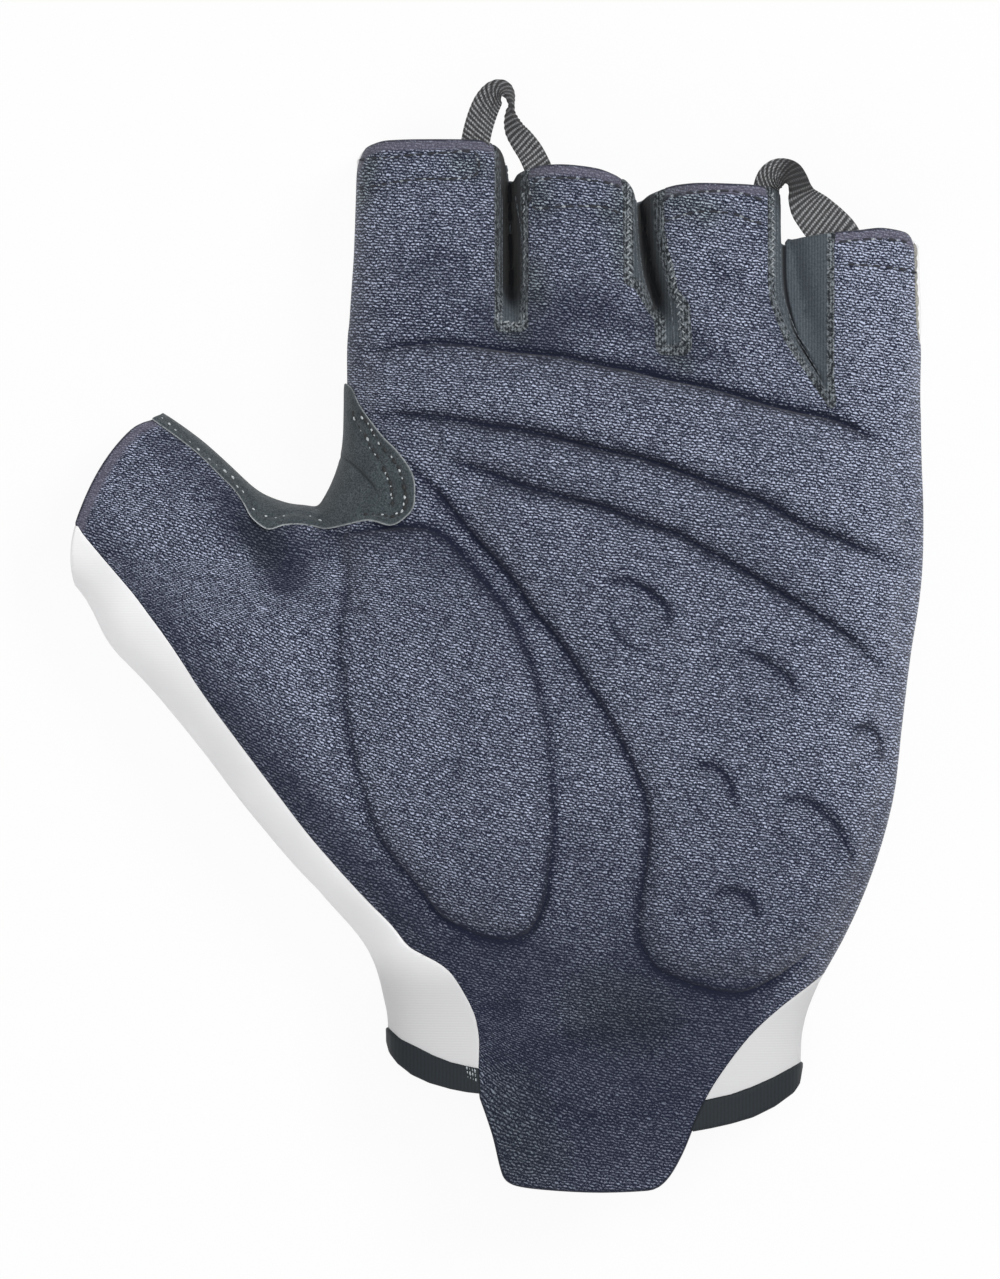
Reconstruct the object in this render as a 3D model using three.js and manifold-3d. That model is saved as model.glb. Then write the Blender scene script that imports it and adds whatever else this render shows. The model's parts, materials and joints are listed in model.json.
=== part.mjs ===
// Fingerless cycling glove for a left hand, lying on its back with the palm up.
// Millimetres. Fingers point to +Y, the thumb to -X, and the back rests on z = 0.
// The hand form is a set of lofted tubes. Every cloth layer is the space between
// two offsets of that form, cut to its own plan outline.

import * as THREE from 'three';
import { mergeVertices } from 'three/addons/utils/BufferGeometryUtils.js';
import Module from 'manifold-3d';

const wasm = await Module();
wasm.setup();

// Driving sizes of the hand form

const palmWidth = 97;
const palmLength = 128.5;
const palmDepth = 24.5;
const wristWidth = 68.8;
const wristDepth = 20.5;
const fingerDepth = 18.5;
const thumbWidth = 32.4;
const thumbDepth = 16;
const thumbRootDepth = 23;
const sideSeamHeight = 8.6;
const fingerSeamHeight = 4.2;
const restFlatDepth = 0.5;

// Finger stalls: place of the root in shares of palm width and length

const indexWidth = 25;
const indexLength = 32;
const middleWidth = 20.9;
const middleLength = 30.2;
const ringWidth = 23.9;
const ringLength = 31.9;
const littleWidth = 22.6;
const littleLength = 28.5;
const stalls = [
  { root: [-0.111, 0.398], lean: -0.6, width: indexWidth, length: indexLength },
  { root: [0.164, 0.379], lean: 5.9, width: middleWidth, length: middleLength },
  { root: [0.428, 0.344], lean: 10.4, width: ringWidth, length: ringLength },
  { root: [0.645, 0.308], lean: 6.9, width: littleWidth, length: littleLength },
];
const cornerDropShares = [[0.148, 0.176], [0.144, 0.239], [0.155, 0.084], [0.133, 0.133]];
const stallStationShares = [-0.4, 0, 0.4, 0.75, 1, 1.16];
const stallWidthShares = [
  [0.95, 1.07, 1.03, 1.01, 1, 1],
  [1, 1.23, 1.09, 1.03, 1, 1],
  [0.86, 1.03, 1.01, 1, 1, 1],
  [0.64, 0.74, 0.88, 0.96, 1, 1],
];
const stallDepthShares = [0.92, 1.06, 1.02, 1, 0.97, 0.96];

// Cloth and trim thicknesses, and the clearance between touching layers

const palmThickness = 1.3;
const backThickness = 0.9;
const fourchetteThickness = 0.8;
const forkThickness = 0.8;
const liningThickness = 0.6;
const bindingThickness = 0.8;
const bindingWidth = 5.2;
const seamGap = 0.3;
const loopClearance = 0.6;
const padCrown = 3;
const padRimSink = 0.5;
const tabThickness = 1.4;
const tabDroop = 7;
const tabRootRadius = 2;
const liningMargin = 2.4;

// Cuff edge and thumb mouth curves

const cuffDip = 12;
const cuffSkew = 3.3;
const cuffMiddleShares = [0.171, -0.536];
const cuffReachShare = 1.15;
const cuffFlatPower = 4;
const bindingTaperShare = 0.6;
const bindingTaperPower = 6;
const stallReachShare = 1.1;
const stallCornerPower = 6;
const thumbMouthBow = 5.2;
const thumbMouthShares = { start: -0.03, peak: 0.6, end: 1.06, below: 1.5, above: -0.35 };
const thumbBowPower = 2.4;
const cutOverrun = 12;

// Webbing of the two pull loops

const webbingWidth = 4.5;
const webbingThickness = 1;

// Steps along the curves and around the tubes

const stallSides = 16;
const palmSides = 28;
const palmRings = 14;
const mouthSteps = 14;
const cuffSteps = 18;
const ribbonRings = 22;
const tabBarSides = 32;
const padSteps = 10;
const padAcross = 5;

// Shape of a section's arch and of a pad's crown

const archPower = 2.6;
const swellPower = 4;

// Palm stations from the finger roots to the wrist: middle x and y as shares of
// palm width and length, width share, tilt in degrees, depth share, lift share.
// The last five take their width and depth from the wrist.

const palmStationShares = [
  [0.241, 0.364, 0.995, -9.6, 0.45, 0],
  [0.241, 0.348, 0.997, -9.7, 0.76, 0],
  [0.239, 0.311, 1.0, -9.5, 0.9, 0],
  [0.24, 0.224, 1.009, -10.6, 0.96, 0],
  [0.231, 0.139, 1.023, -11.4, 0.99, 0],
  [0.199, 0.049, 1.055, -11.3, 1, 0],
  [0.159, -0.052, 1.092, -10.4, 1, 0],
  [0.133, -0.152, 1.102, -8.1, 1, 0],
  [0.124, -0.256, 1.055, -6.5, 0.98, 0],
];
const wristStationShares = [
  [0.143, -0.35, 1.305, -5.9, 1.13, 0.25],
  [0.166, -0.425, 1.102, -5, 1.07, 0.7],
  [0.17, -0.486, 1.019, -3.4, 1.02, 1],
  [0.171, -0.548, 1, -2.8, 1, 1],
  [0.17, -0.77, 0.99, -2.1, 0.98, 1],
];

// Thumb stations from beyond the mouth into the palm: inner edge point as shares
// of the palm, width share, and depth share between the mouth and the root.

const thumbStationShares = [
  [-0.662, 0.327, 0.93, -0.06],
  [-0.584, 0.291, 1, 0],
  [-0.515, 0.252, 1.11, 0.2],
  [-0.414, 0.195, 1.21, 0.48],
  [-0.332, 0.168, 1.35, 0.75],
  [-0.232, 0.12, 1.49, 0.95],
  [-0.112, 0.036, 1.545, 0.92],
  [-0.026, -0.068, 1.36, 0.5],
];
const thumbSectionAngle = -112.3;

// Plan outlines, as shares of palm width and palm length

const whiteEdgeShares = [
  [-0.782, 0.207], [-0.72, 0.15], [-0.631, 0.068], [-0.541, -0.023], [-0.473, -0.107],
  [-0.404, -0.169], [-0.335, -0.243], [-0.232, -0.327], [-0.143, -0.403], [-0.082, -0.426],
  [-0.046, -0.464], [-0.027, -0.516], [-0.027, -0.556],
];
const tabRootShares = [[-0.026, -0.595], [0.335, -0.638]];
const heelEdgeShares = [
  [0.359, -0.601], [0.387, -0.566], [0.435, -0.517], [0.486, -0.481], [0.555, -0.442],
  [0.627, -0.405],
];
const tabEdgeShares = [
  [-0.005, -0.641], [0.009, -0.684], [0.019, -0.704], [0.046, -0.713], [0.112, -0.718],
  [0.18, -0.72], [0.249, -0.718], [0.277, -0.713], [0.299, -0.696], [0.32, -0.666],
];
const fourchetteShares = [
  [
    [0.01, 0.72], [0.009, 0.561], [0.006, 0.438], [0.006, 0.388], [0.014, 0.376],
    [0.046, 0.374], [0.054, 0.385], [0.054, 0.438], [0.053, 0.496], [0.038, 0.554],
    [0.026, 0.591], [0.019, 0.72],
  ],
  [
    [0.239, 0.7], [0.241, 0.561], [0.245, 0.496], [0.262, 0.436], [0.286, 0.38],
    [0.296, 0.352], [0.322, 0.348], [0.33, 0.37], [0.318, 0.412], [0.299, 0.487],
    [0.29, 0.552], [0.287, 0.7],
  ],
  [
    [0.491, 0.7], [0.491, 0.504], [0.498, 0.457], [0.514, 0.403], [0.538, 0.359],
    [0.57, 0.299], [0.582, 0.299], [0.582, 0.438], [0.581, 0.7],
  ],
];
const forkShares = [
  [-0.66, 0.36], [-0.595, 0.286], [-0.54, 0.255], [-0.481, 0.217], [-0.44, 0.182],
  [-0.419, 0.152], [-0.39, 0.139], [-0.347, 0.146], [-0.294, 0.141], [-0.247, 0.147],
  [-0.177, 0.147], [-0.148, 0.16], [-0.137, 0.186], [-0.139, 0.215], [-0.165, 0.239],
  [-0.206, 0.281], [-0.249, 0.321], [-0.301, 0.321], [-0.335, 0.256], [-0.438, 0.308],
  [-0.541, 0.36],
];

// Foam pads, each between two edge curves with the same number of points

const padShares = {
  knuckle_pad: {
    upper: [
      [-0.211, 0.357], [-0.091, 0.37], [0.05, 0.36], [0.189, 0.342], [0.32, 0.322],
      [0.459, 0.294], [0.572, 0.273], [0.668, 0.241],
    ],
    lower: [
      [-0.201, 0.299], [-0.091, 0.298], [0.05, 0.281], [0.189, 0.255], [0.32, 0.228],
      [0.459, 0.189], [0.6, 0.138], [0.696, 0.111],
    ],
  },
  metacarpal_pad: {
    upper: [
      [-0.105, 0.269], [-0.021, 0.261], [0.119, 0.243], [0.249, 0.22], [0.39, 0.181],
      [0.529, 0.133], [0.627, 0.098], [0.692, 0.075],
    ],
    lower: [
      [-0.095, 0.241], [-0.021, 0.229], [0.119, 0.194], [0.242, 0.163], [0.361, 0.125],
      [0.495, 0.068], [0.595, 0.021], [0.672, -0.034],
    ],
  },
  hypothenar_pad: {
    upper: [
      [0.012, 0.191], [0.119, 0.171], [0.311, 0.123], [0.495, 0.042], [0.624, -0.029],
      [0.655, -0.133], [0.627, -0.263], [0.569, -0.369], [0.481, -0.429],
    ],
    lower: [
      [-0.005, 0.189], [-0.029, 0.147], [0.048, 0.071], [0.115, 0.005], [0.216, -0.115],
      [0.271, -0.203], [0.273, -0.304], [0.266, -0.379], [0.309, -0.426],
    ],
  },
  thenar_pad: {
    upper: [
      [-0.108, 0.139], [-0.043, 0.085], [0.024, 0.02], [0.055, -0.055], [0.086, -0.133],
      [0.098, -0.224], [0.082, -0.316], [0.05, -0.374],
    ],
    lower: [
      [-0.246, 0.132], [-0.253, 0.049], [-0.258, -0.042], [-0.246, -0.129], [-0.225, -0.195],
      [-0.187, -0.265], [-0.132, -0.317], [-0.084, -0.356],
    ],
  },
};

// Plain geometry helpers

const degrees = THREE.MathUtils.degToRad;
const mix = THREE.MathUtils.lerp;

function place([x, y]) {
  return new THREE.Vector2(x * palmWidth, y * palmLength);
}

function direction(angle) {
  return new THREE.Vector2(Math.cos(degrees(angle)), Math.sin(degrees(angle)));
}

function along(point, heading, distance) {
  return point.clone().addScaledVector(heading, distance);
}

// Smooth row of numbers at share t of a table of rows
function rowAt(rows, t) {
  const at = t * (rows.length - 1);
  const first = Math.min(Math.floor(at), rows.length - 2);
  const w = at - first;
  const near = (i) => rows[Math.min(Math.max(i, 0), rows.length - 1)];
  return rows[first].map((_, k) => {
    const [a, b, c, d] = [first - 1, first, first + 1, first + 2].map((i) => near(i)[k]);
    const bend = (2 * a - 5 * b + 4 * c - d) * w + (3 * (b - c) + d - a) * w * w;
    return b + ((c - a) * w + bend * w) / 2;
  });
}

// Solids from meshes and back

function solidOf(points, faces) {
  const vertProperties = new Float32Array(points.flatMap((p) => [p.x, p.y, p.z]));
  let volume = 0;
  for (const [a, b, c] of faces) {
    volume += points[a].dot(points[b].clone().cross(points[c]));
  }
  const outward = volume > 0 ? faces : faces.map(([a, b, c]) => [a, c, b]);
  const triVerts = new Uint32Array(outward.flat());
  const mesh = new wasm.Mesh({ numProp: 3, vertProperties, triVerts });
  return new wasm.Manifold(mesh);
}

// Closed tube through rings of points, with a fan at each end
function skin(rings) {
  const sides = rings[0].length;
  const points = rings.flat();
  const faces = [];
  for (let r = 0; r + 1 < rings.length; r++) {
    for (let i = 0; i < sides; i++) {
      const [a, b] = [r * sides + i, r * sides + ((i + 1) % sides)];
      faces.push([a, b, a + sides], [b, b + sides, a + sides]);
    }
  }
  for (const [ring, flip] of [[0, true], [rings.length - 1, false]]) {
    const centre = new THREE.Vector3();
    rings[ring].forEach((p) => centre.addScaledVector(p, 1 / sides));
    points.push(centre);
    for (let i = 0; i < sides; i++) {
      const [a, b] = [ring * sides + i, ring * sides + ((i + 1) % sides)];
      faces.push(flip ? [points.length - 1, b, a] : [points.length - 1, a, b]);
    }
  }
  return solidOf(points, faces);
}

// Upright prism over a plan outline
function prism(outline, low, high) {
  const shape = new THREE.Shape(outline);
  const geometry = new THREE.ExtrudeGeometry(shape, { depth: high - low, bevelEnabled: false });
  geometry.translate(0, 0, low);
  return solidFromGeometry(geometry);
}

function solidFromGeometry(geometry) {
  geometry.deleteAttribute('normal');
  geometry.deleteAttribute('uv');
  const merged = mergeVertices(geometry);
  const vertProperties = new Float32Array(merged.getAttribute('position').array);
  const triVerts = new Uint32Array(merged.getIndex().array);
  return new wasm.Manifold(new wasm.Mesh({ numProp: 3, vertProperties, triVerts }));
}

// Outline moved outwards by a distance, corner by corner
function widened(outline, distance) {
  const turn = THREE.ShapeUtils.isClockWise(outline) ? -1 : 1;
  const count = outline.length;
  return outline.map((p, i) => {
    const before = p.clone().sub(outline[(i + count - 1) % count]).normalize();
    const after = outline[(i + 1) % count].clone().sub(p).normalize();
    const out = before.add(after).normalize();
    return new THREE.Vector2(p.x + out.y * turn * distance, p.y - out.x * turn * distance);
  });
}

const depthReach = palmDepth + padCrown + cutOverrun;

// Section ring between two edge points: flat below and arched above
function sectionRing(left, right, depth, lift, inset, sides) {
  const across = right.clone().sub(left);
  const half = across.length() / 2 - inset;
  across.normalize();
  const middle = left.clone().add(right).multiplyScalar(1 / 2);
  const low = lift + inset;
  const ring = [];
  for (let i = 0; i < sides; i++) {
    const [c, s] = [Math.cos((2 * Math.PI * i) / sides), Math.sin((2 * Math.PI * i) / sides)];
    const side = Math.sign(c) * Math.abs(c) ** (2 / archPower);
    const rise = Math.abs(s) ** (2 / archPower);
    const high = depth - inset - sideSeamHeight;
    const below = sideSeamHeight - (sideSeamHeight - low + restFlatDepth) * rise;
    const z = s >= 0 ? sideSeamHeight + high * rise : Math.max(low, below);
    const at = along(middle, across, side * half);
    ring.push(new THREE.Vector3(at.x, at.y, z));
  }
  return ring;
}

// Palm stations with real sizes: middle, direction across, half width, depth, lift

const palmRows = [
  ...palmStationShares.map(([x, y, w, tilt, d, lift]) => [
    x * palmWidth, y * palmLength, (w * palmWidth) / 2, tilt, d * palmDepth, lift,
  ]),
  ...wristStationShares.map(([x, y, w, tilt, d, lift]) => [
    x * palmWidth, y * palmLength, (w * wristWidth) / 2, tilt, d * wristDepth, lift,
  ]),
];
const liftSize = bindingThickness + seamGap;

function palmStation(t) {
  const [x, y, half, tilt, depth, lift] = rowAt(palmRows, t);
  const across = direction(tilt);
  const middle = new THREE.Vector2(x, y);
  return { left: along(middle, across, -half), right: along(middle, across, half), depth,
    lift: Math.max(lift, 0) * liftSize };
}

// The rings nearest the fingers also step back by the inset, as their end face does
const steppedRings = 4;

function palmForm(inset) {
  const rings = [];
  for (let i = 0; i <= palmRings; i++) {
    const even = i / palmRings;
    const { left, right, depth, lift } = palmStation(mix(even * even, even, 1 / 2));
    const back = right.clone().sub(left).rotateAround(new THREE.Vector2(), -Math.PI / 2).normalize();
    const step = inset * Math.max(1 - i / steppedRings, 0);
    rings.push(sectionRing(along(left, back, step), along(right, back, step), depth, lift, inset,
      palmSides));
  }
  return skin(rings);
}

function thumbStation([x, y, w, d]) {
  const right = place([x, y]);
  const left = along(right, direction(thumbSectionAngle), w * thumbWidth);
  return { left, right, depth: mix(thumbDepth, thumbRootDepth, d), lift: 0 };
}

function thumbForm(inset) {
  return skin(thumbStationShares.map((row) => {
    const { left, right, depth, lift } = thumbStation(row);
    return sectionRing(left, right, depth, lift, inset, stallSides);
  }));
}

function stallForm(stall, index, inset) {
  const root = place(stall.root);
  const ahead = direction(90 + stall.lean);
  const across = direction(stall.lean);
  return skin(stallStationShares.map((share, k) => {
    const middle = along(root, ahead, share * stall.length);
    const half = (stallWidthShares[index][k] * stall.width) / 2;
    const depth = stallDepthShares[k] * fingerDepth;
    const [left, right] = [along(middle, across, -half), along(middle, across, half)];
    return sectionRing(left, right, depth, 0, inset, stallSides);
  }));
}

function baseForm(inset) {
  const parts = stalls.map((stall, index) => stallForm(stall, index, inset));
  return parts.reduce((sum, part) => sum.add(part), palmForm(inset).add(thumbForm(inset)));
}

// Height of the palm or thumb surface over a plan point

function heightBetween(a, b, point) {
  const side = (s) => {
    const across = s.right.clone().sub(s.left);
    return across.cross(point.clone().sub(s.left)) / across.length();
  };
  const [da, db] = [side(a), side(b)];
  if (da * db > 0) return 0;
  const w = da / (da - db);
  const left = a.left.clone().lerp(b.left, w);
  const right = a.right.clone().lerp(b.right, w);
  const s = (2 * point.distanceTo(left)) / right.distanceTo(left) - 1;
  if (Math.abs(s) >= 1) return 0;
  const rise = (1 - Math.abs(s) ** archPower) ** (1 / archPower);
  return sideSeamHeight + (mix(a.depth, b.depth, w) - sideSeamHeight) * rise;
}

function surfaceHeight(point) {
  const heights = [0];
  for (let i = 0; i < palmRings * 2; i++) {
    const [a, b] = [palmStation(i / (palmRings * 2)), palmStation((i + 1) / (palmRings * 2))];
    heights.push(heightBetween(a, b, point));
  }
  const thumb = thumbStationShares.map(thumbStation);
  for (let i = 0; i + 1 < thumb.length; i++) {
    heights.push(heightBetween(thumb[i], thumb[i + 1], point));
  }
  return Math.max(...heights);
}

// Crowned pad: a grid between its two edge curves that rises to the crown

function padForm({ upper, lower }, inset) {
  const curve = (points) => new THREE.SplineCurve(points.map(place));
  const [high, low] = [curve(upper), curve(lower)];
  const skirt = fingerDepth / 2;
  const top = [];
  const bottom = [];
  const end = inset / high.getLength();
  const spread = (i, steps) => (1 - Math.cos((Math.PI * i) / steps)) / 2;
  const swell = (w) => (1 - Math.abs(2 * w - 1) ** swellPower) ** (1 / 2);
  for (let i = 0; i <= padSteps; i++) {
    const u = spread(i, padSteps);
    const t = mix(end, 1 - end, u);
    const [p, q] = [high.getPoint(t), low.getPoint(t)];
    const edge = Math.min(inset / p.distanceTo(q), 1 / 3);
    for (let k = 0; k <= padAcross; k++) {
      const v = spread(k, padAcross);
      const at = p.clone().lerp(q, mix(edge, 1 - edge, v));
      const crown = (padCrown + padRimSink) * swell(u) * swell(v) - padRimSink;
      const z = surfaceHeight(at) - inset + crown;
      top.push(new THREE.Vector3(at.x, at.y, z));
      bottom.push(new THREE.Vector3(at.x, at.y, z - crown - skirt));
    }
  }
  return gridSolid(top, bottom, padSteps, padAcross);
}

// Closed solid between an upper and a lower grid of points
function gridSolid(top, bottom, rows, columns) {
  const at = (i, k) => i * (columns + 1) + k;
  const below = top.length;
  const faces = [];
  const quad = (a, b, c, d) => faces.push([a, b, c], [a, c, d]);
  for (let i = 0; i < rows; i++) {
    for (let k = 0; k < columns; k++) {
      const [a, b, c, d] = [at(i, k), at(i + 1, k), at(i + 1, k + 1), at(i, k + 1)];
      quad(a, b, c, d);
      quad(below + d, below + c, below + b, below + a);
    }
    quad(at(i + 1, 0), at(i, 0), below + at(i, 0), below + at(i + 1, 0));
    quad(at(i, columns), at(i + 1, columns), below + at(i + 1, columns), below + at(i, columns));
  }
  for (let k = 0; k < columns; k++) {
    quad(at(0, k), at(0, k + 1), below + at(0, k + 1), below + at(0, k));
    quad(at(rows, k + 1), at(rows, k), below + at(rows, k), below + at(rows, k + 1));
  }
  return solidOf([...top, ...bottom], faces);
}

// Cuts that open the finger stalls, the thumb and the cuff

function stallMouthCut(stall) {
  const root = place(stall.root);
  const across = direction(stall.lean);
  const ahead = direction(90 + stall.lean);
  const reach = (stallReachShare * stall.width) / 2;
  const outline = [];
  for (let i = 0; i <= mouthSteps; i++) {
    const s = mix(-stallReachShare, stallReachShare, i / mouthSteps);
    const side = along(root, across, (s * stall.width) / 2);
    outline.push(along(side, ahead, stall.length - cornerDrop(stall, s)));
  }
  const top = along(root, ahead, stall.length + cutOverrun);
  outline.push(along(top, across, reach), along(top, across, -reach));
  return prism(outline, -cutOverrun, depthReach);
}

// How far the mouth edge falls back towards a corner, for a side share from -1 to 1
function cornerDrop(stall, s) {
  const share = cornerDropShares[stalls.indexOf(stall)][s < 0 ? 0 : 1];
  return share * stall.width * Math.min(Math.abs(s), 1) ** stallCornerPower;
}

function thumbMouthCut() {
  const corner = place(thumbStationShares[1]);
  const across = direction(thumbSectionAngle);
  const outward = direction(thumbSectionAngle - 90);
  const { start, peak, end, below, above } = thumbMouthShares;
  const outline = [];
  for (let i = 0; i <= mouthSteps; i++) {
    const a = mix(start, end, i / mouthSteps);
    const s = a < peak ? (peak - a) / (peak - start) : (a - peak) / (end - peak);
    const bow = thumbMouthBow * (1 - s ** thumbBowPower);
    outline.push(along(along(corner, across, a * thumbWidth), outward, bow));
  }
  const low = along(corner, across, below * thumbWidth);
  const high = along(corner, across, above * thumbWidth);
  const reach = thumbMouthBow + cutOverrun;
  outline.push(low, along(low, outward, reach), along(high, outward, reach), high);
  return prism(outline, -cutOverrun, depthReach);
}

// Cuff edge in plan: raise moves it towards the fingers and narrows at the sides
const cuffMiddle = place(cuffMiddleShares);

function cuffCurve(raise) {
  const points = [];
  for (let i = 0; i <= cuffSteps; i++) {
    const s = mix(-cuffReachShare, cuffReachShare, i / cuffSteps);
    const near = Math.min(Math.abs(s), 1);
    const dip = cuffDip * (1 - near ** cuffFlatPower);
    const lift = raise * (1 - bindingTaperShare * near ** bindingTaperPower);
    const x = cuffMiddle.x + (s * wristWidth) / 2;
    points.push(new THREE.Vector2(x, cuffMiddle.y - cuffSkew * s - dip + lift));
  }
  return points;
}

function belowCuff(raise) {
  const curve = cuffCurve(raise);
  const floor = -palmLength;
  const [first, last] = [curve[0], curve[curve.length - 1]];
  const outline = [...curve, new THREE.Vector2(last.x, floor), new THREE.Vector2(first.x, floor)];
  return prism(outline, -cutOverrun, depthReach);
}

const mouthCuts = stalls.map(stallMouthCut).reduce((sum, cut) => sum.add(cut), thumbMouthCut());

// Shell of the whole form between two depths below the outer face
function shell(outer, inner) {
  return baseForm(outer).subtract(baseForm(inner)).subtract(mouthCuts);
}

// Plan regions

const tabRoot = tabRootShares.map(place);
const whiteEdge = whiteEdgeShares.map(place);
const heelEdge = heelEdgeShares.map(place);
const [farRight, farUp] = [palmWidth, palmLength];
const palmCorners = [
  ...heelEdge, new THREE.Vector2(farRight, heelEdge[heelEdge.length - 1].y),
  new THREE.Vector2(farRight, farUp), new THREE.Vector2(-farRight, farUp),
  new THREE.Vector2(-farRight, whiteEdge[0].y),
];
const palmOutline = [...whiteEdge, ...tabRoot, ...palmCorners];
const palmAndTabOutline = [
  ...whiteEdge, tabRoot[0], ...tabEdgeShares.map(place), tabRoot[1], ...palmCorners,
];
const fourchetteOutlines = fourchetteShares.map((shares) => shares.map(place));

function above(outline, grow, floor) {
  return prism(grow ? widened(outline, grow) : outline, floor, depthReach);
}

// Named meshes

const group = new THREE.Group();

function addPiece(name, solid, { color, roughness, metalness = 0 }) {
  const mesh = solid.getMesh();
  const geometry = new THREE.BufferGeometry();
  geometry.setAttribute('position', new THREE.BufferAttribute(mesh.vertProperties, 3));
  geometry.setIndex(new THREE.BufferAttribute(mesh.triVerts, 1));
  geometry.computeVertexNormals();
  const material = new THREE.MeshStandardMaterial({ color, roughness, metalness });
  const piece = new THREE.Mesh(geometry, material);
  piece.name = name;
  group.add(piece);
}

const palmCloth = { color: 0x5c6375, roughness: 0.95 };
const whiteCloth = { color: 0xdcdde0, roughness: 0.7 };
const fourchetteCloth = { color: 0x464e57, roughness: 0.85 };
const forkSuede = { color: 0x384148, roughness: 0.9 };
const slateElastic = { color: 0x283138, roughness: 0.8 };
const greyWebbing = { color: 0x6b6f74, roughness: 0.85 };
const foam = { color: 0x3a4150, roughness: 1 };
const liningCloth = { color: 0x8b919c, roughness: 0.95 };

// Palm panel, with the pads pressed up from below

const padNames = Object.keys(padShares);
const padForms = (inset) => padNames.map((name) => padForm(padShares[name], inset));
const withPads = (inset) => padForms(inset).reduce((sum, pad) => sum.add(pad), baseForm(inset));
const grownFourchettes = fourchetteOutlines.map((outline) =>
  above(outline, seamGap, fingerSeamHeight - seamGap));
const without = (solid, cuts) => cuts.reduce((rest, cut) => rest.subtract(cut), solid);

const palmPanel = withPads(0).subtract(withPads(palmThickness)).subtract(mouthCuts)
  .intersect(above(palmOutline, 0, sideSeamHeight));
addPiece('palm_panel', without(palmPanel, grownFourchettes), palmCloth);

// Back panel: all the rest of the shell, its cuff edge inside the binding

const cuffEdge = belowCuff(seamGap + bindingThickness);
const palmAndTabRegion = above(palmAndTabOutline, seamGap, sideSeamHeight - seamGap);
const backPanel = shell(0, backThickness)
  .subtract(palmAndTabRegion)
  .subtract(cuffEdge);
addPiece('back_panel', without(backPanel, grownFourchettes), whiteCloth);

// Fourchettes between the fingers

const fourchetteNames = ['index_middle', 'middle_ring', 'ring_little'];
const fourchetteShell = shell(0, fourchetteThickness);
fourchetteNames.forEach((name, i) => {
  const region = above(fourchetteOutlines[i], 0, fingerSeamHeight);
  addPiece(`fourchette_${name}`, fourchetteShell.intersect(region), fourchetteCloth);
});

// Suede patch over the thumb fork

const forkOuter = -(seamGap + forkThickness);
const fork = shell(forkOuter, -seamGap)
  .intersect(above(forkShares.map(place), 0, sideSeamHeight));
addPiece('thumb_fork_patch', fork, forkSuede);

// Foam pads under the palm panel

padNames.forEach((name) => {
  const pad = padForm(padShares[name], palmThickness + seamGap);
  addPiece(name, pad.subtract(baseForm(palmThickness)), foam);
});

// Lining against the hand, under the pads

const liningOutline = widened(palmOutline, -liningMargin);
const liningOuter = palmThickness + seamGap;
const lining = shell(liningOuter, liningOuter + liningThickness)
  .intersect(above(liningOutline, 0, sideSeamHeight + liningMargin))
  .subtract(belowCuff(bindingWidth));
addPiece('palm_lining', without(lining, grownFourchettes), liningCloth);

// Heel tab: the palm panel runs on past the cuff and droops a little

const outwards = tabRoot[1].clone().sub(tabRoot[0]).rotateAround(new THREE.Vector2(), -Math.PI / 2)
  .normalize();
const tabHinge = along(tabRoot[0].clone().lerp(tabRoot[1], 1 / 2), outwards,
  tabRootRadius + seamGap);
const tabOutline = [
  ...tabRoot.map((corner) => along(corner, outwards, seamGap)),
  ...tabEdgeShares.map(place).reverse(),
];
const tabPivot = new THREE.Vector3(tabHinge.x, tabHinge.y,
  surfaceHeight(tabHinge) - tabThickness / 2);
const tabAxis = tabRoot[1].clone().sub(tabRoot[0]).normalize();
const tabTurn = new THREE.Quaternion().setFromAxisAngle(
  new THREE.Vector3(tabAxis.x, tabAxis.y, 0), degrees(tabDroop));
const tabBar = new THREE.CylinderGeometry(tabRootRadius, tabRootRadius, palmWidth, tabBarSides);
tabBar.rotateZ(Math.PI / 2 + Math.atan2(tabAxis.y, tabAxis.x));
tabBar.translate(tabPivot.x, tabPivot.y, tabPivot.z);
const beyondHinge = prism([
  along(tabHinge, tabAxis, palmWidth), along(tabHinge, tabAxis, -palmWidth),
  along(along(tabHinge, tabAxis, -palmWidth), outwards, palmWidth),
  along(along(tabHinge, tabAxis, palmWidth), outwards, palmWidth),
], -cutOverrun, depthReach);
const tabFlat = shell(0, tabThickness).intersect(above(tabOutline, 0, sideSeamHeight))
  .intersect(beyondHinge.add(solidFromGeometry(tabBar)));
const tabMesh = tabFlat.getMesh();
const tabPoints = [];
for (let i = 0; i < tabMesh.vertProperties.length; i += 3) {
  const point = new THREE.Vector3().fromArray(tabMesh.vertProperties, i);
  tabPoints.push(point.sub(tabPivot).applyQuaternion(tabTurn).add(tabPivot));
}
const tabFaces = [];
for (let i = 0; i < tabMesh.triVerts.length; i += 3) {
  tabFaces.push([...tabMesh.triVerts.slice(i, i + 3)]);
}
addPiece('heel_tab', solidOf(tabPoints, tabFaces), palmCloth);

// Elastic binding folded over the cuff edge, from palm edge to palm edge

const foldOuter = seamGap + bindingThickness;
const binding = shell(-foldOuter, backThickness + foldOuter)
  .intersect(belowCuff(bindingWidth))
  .subtract(belowCuff(0))
  .subtract(shell(-seamGap, backThickness + seamGap).subtract(belowCuff(bindingThickness)))
  .subtract(palmAndTabRegion)
  .subtract(above(tabOutline, seamGap + bindingThickness, sideSeamHeight));
addPiece('cuff_binding', binding, slateElastic);

// Pull loops: a flat ribbon of webbing with a twist, sewn into two stall mouths.
// A path point is in shares of the span between the sewn ends: along it, out from
// it and up, then the ribbon's turn about its own path in degrees.

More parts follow.
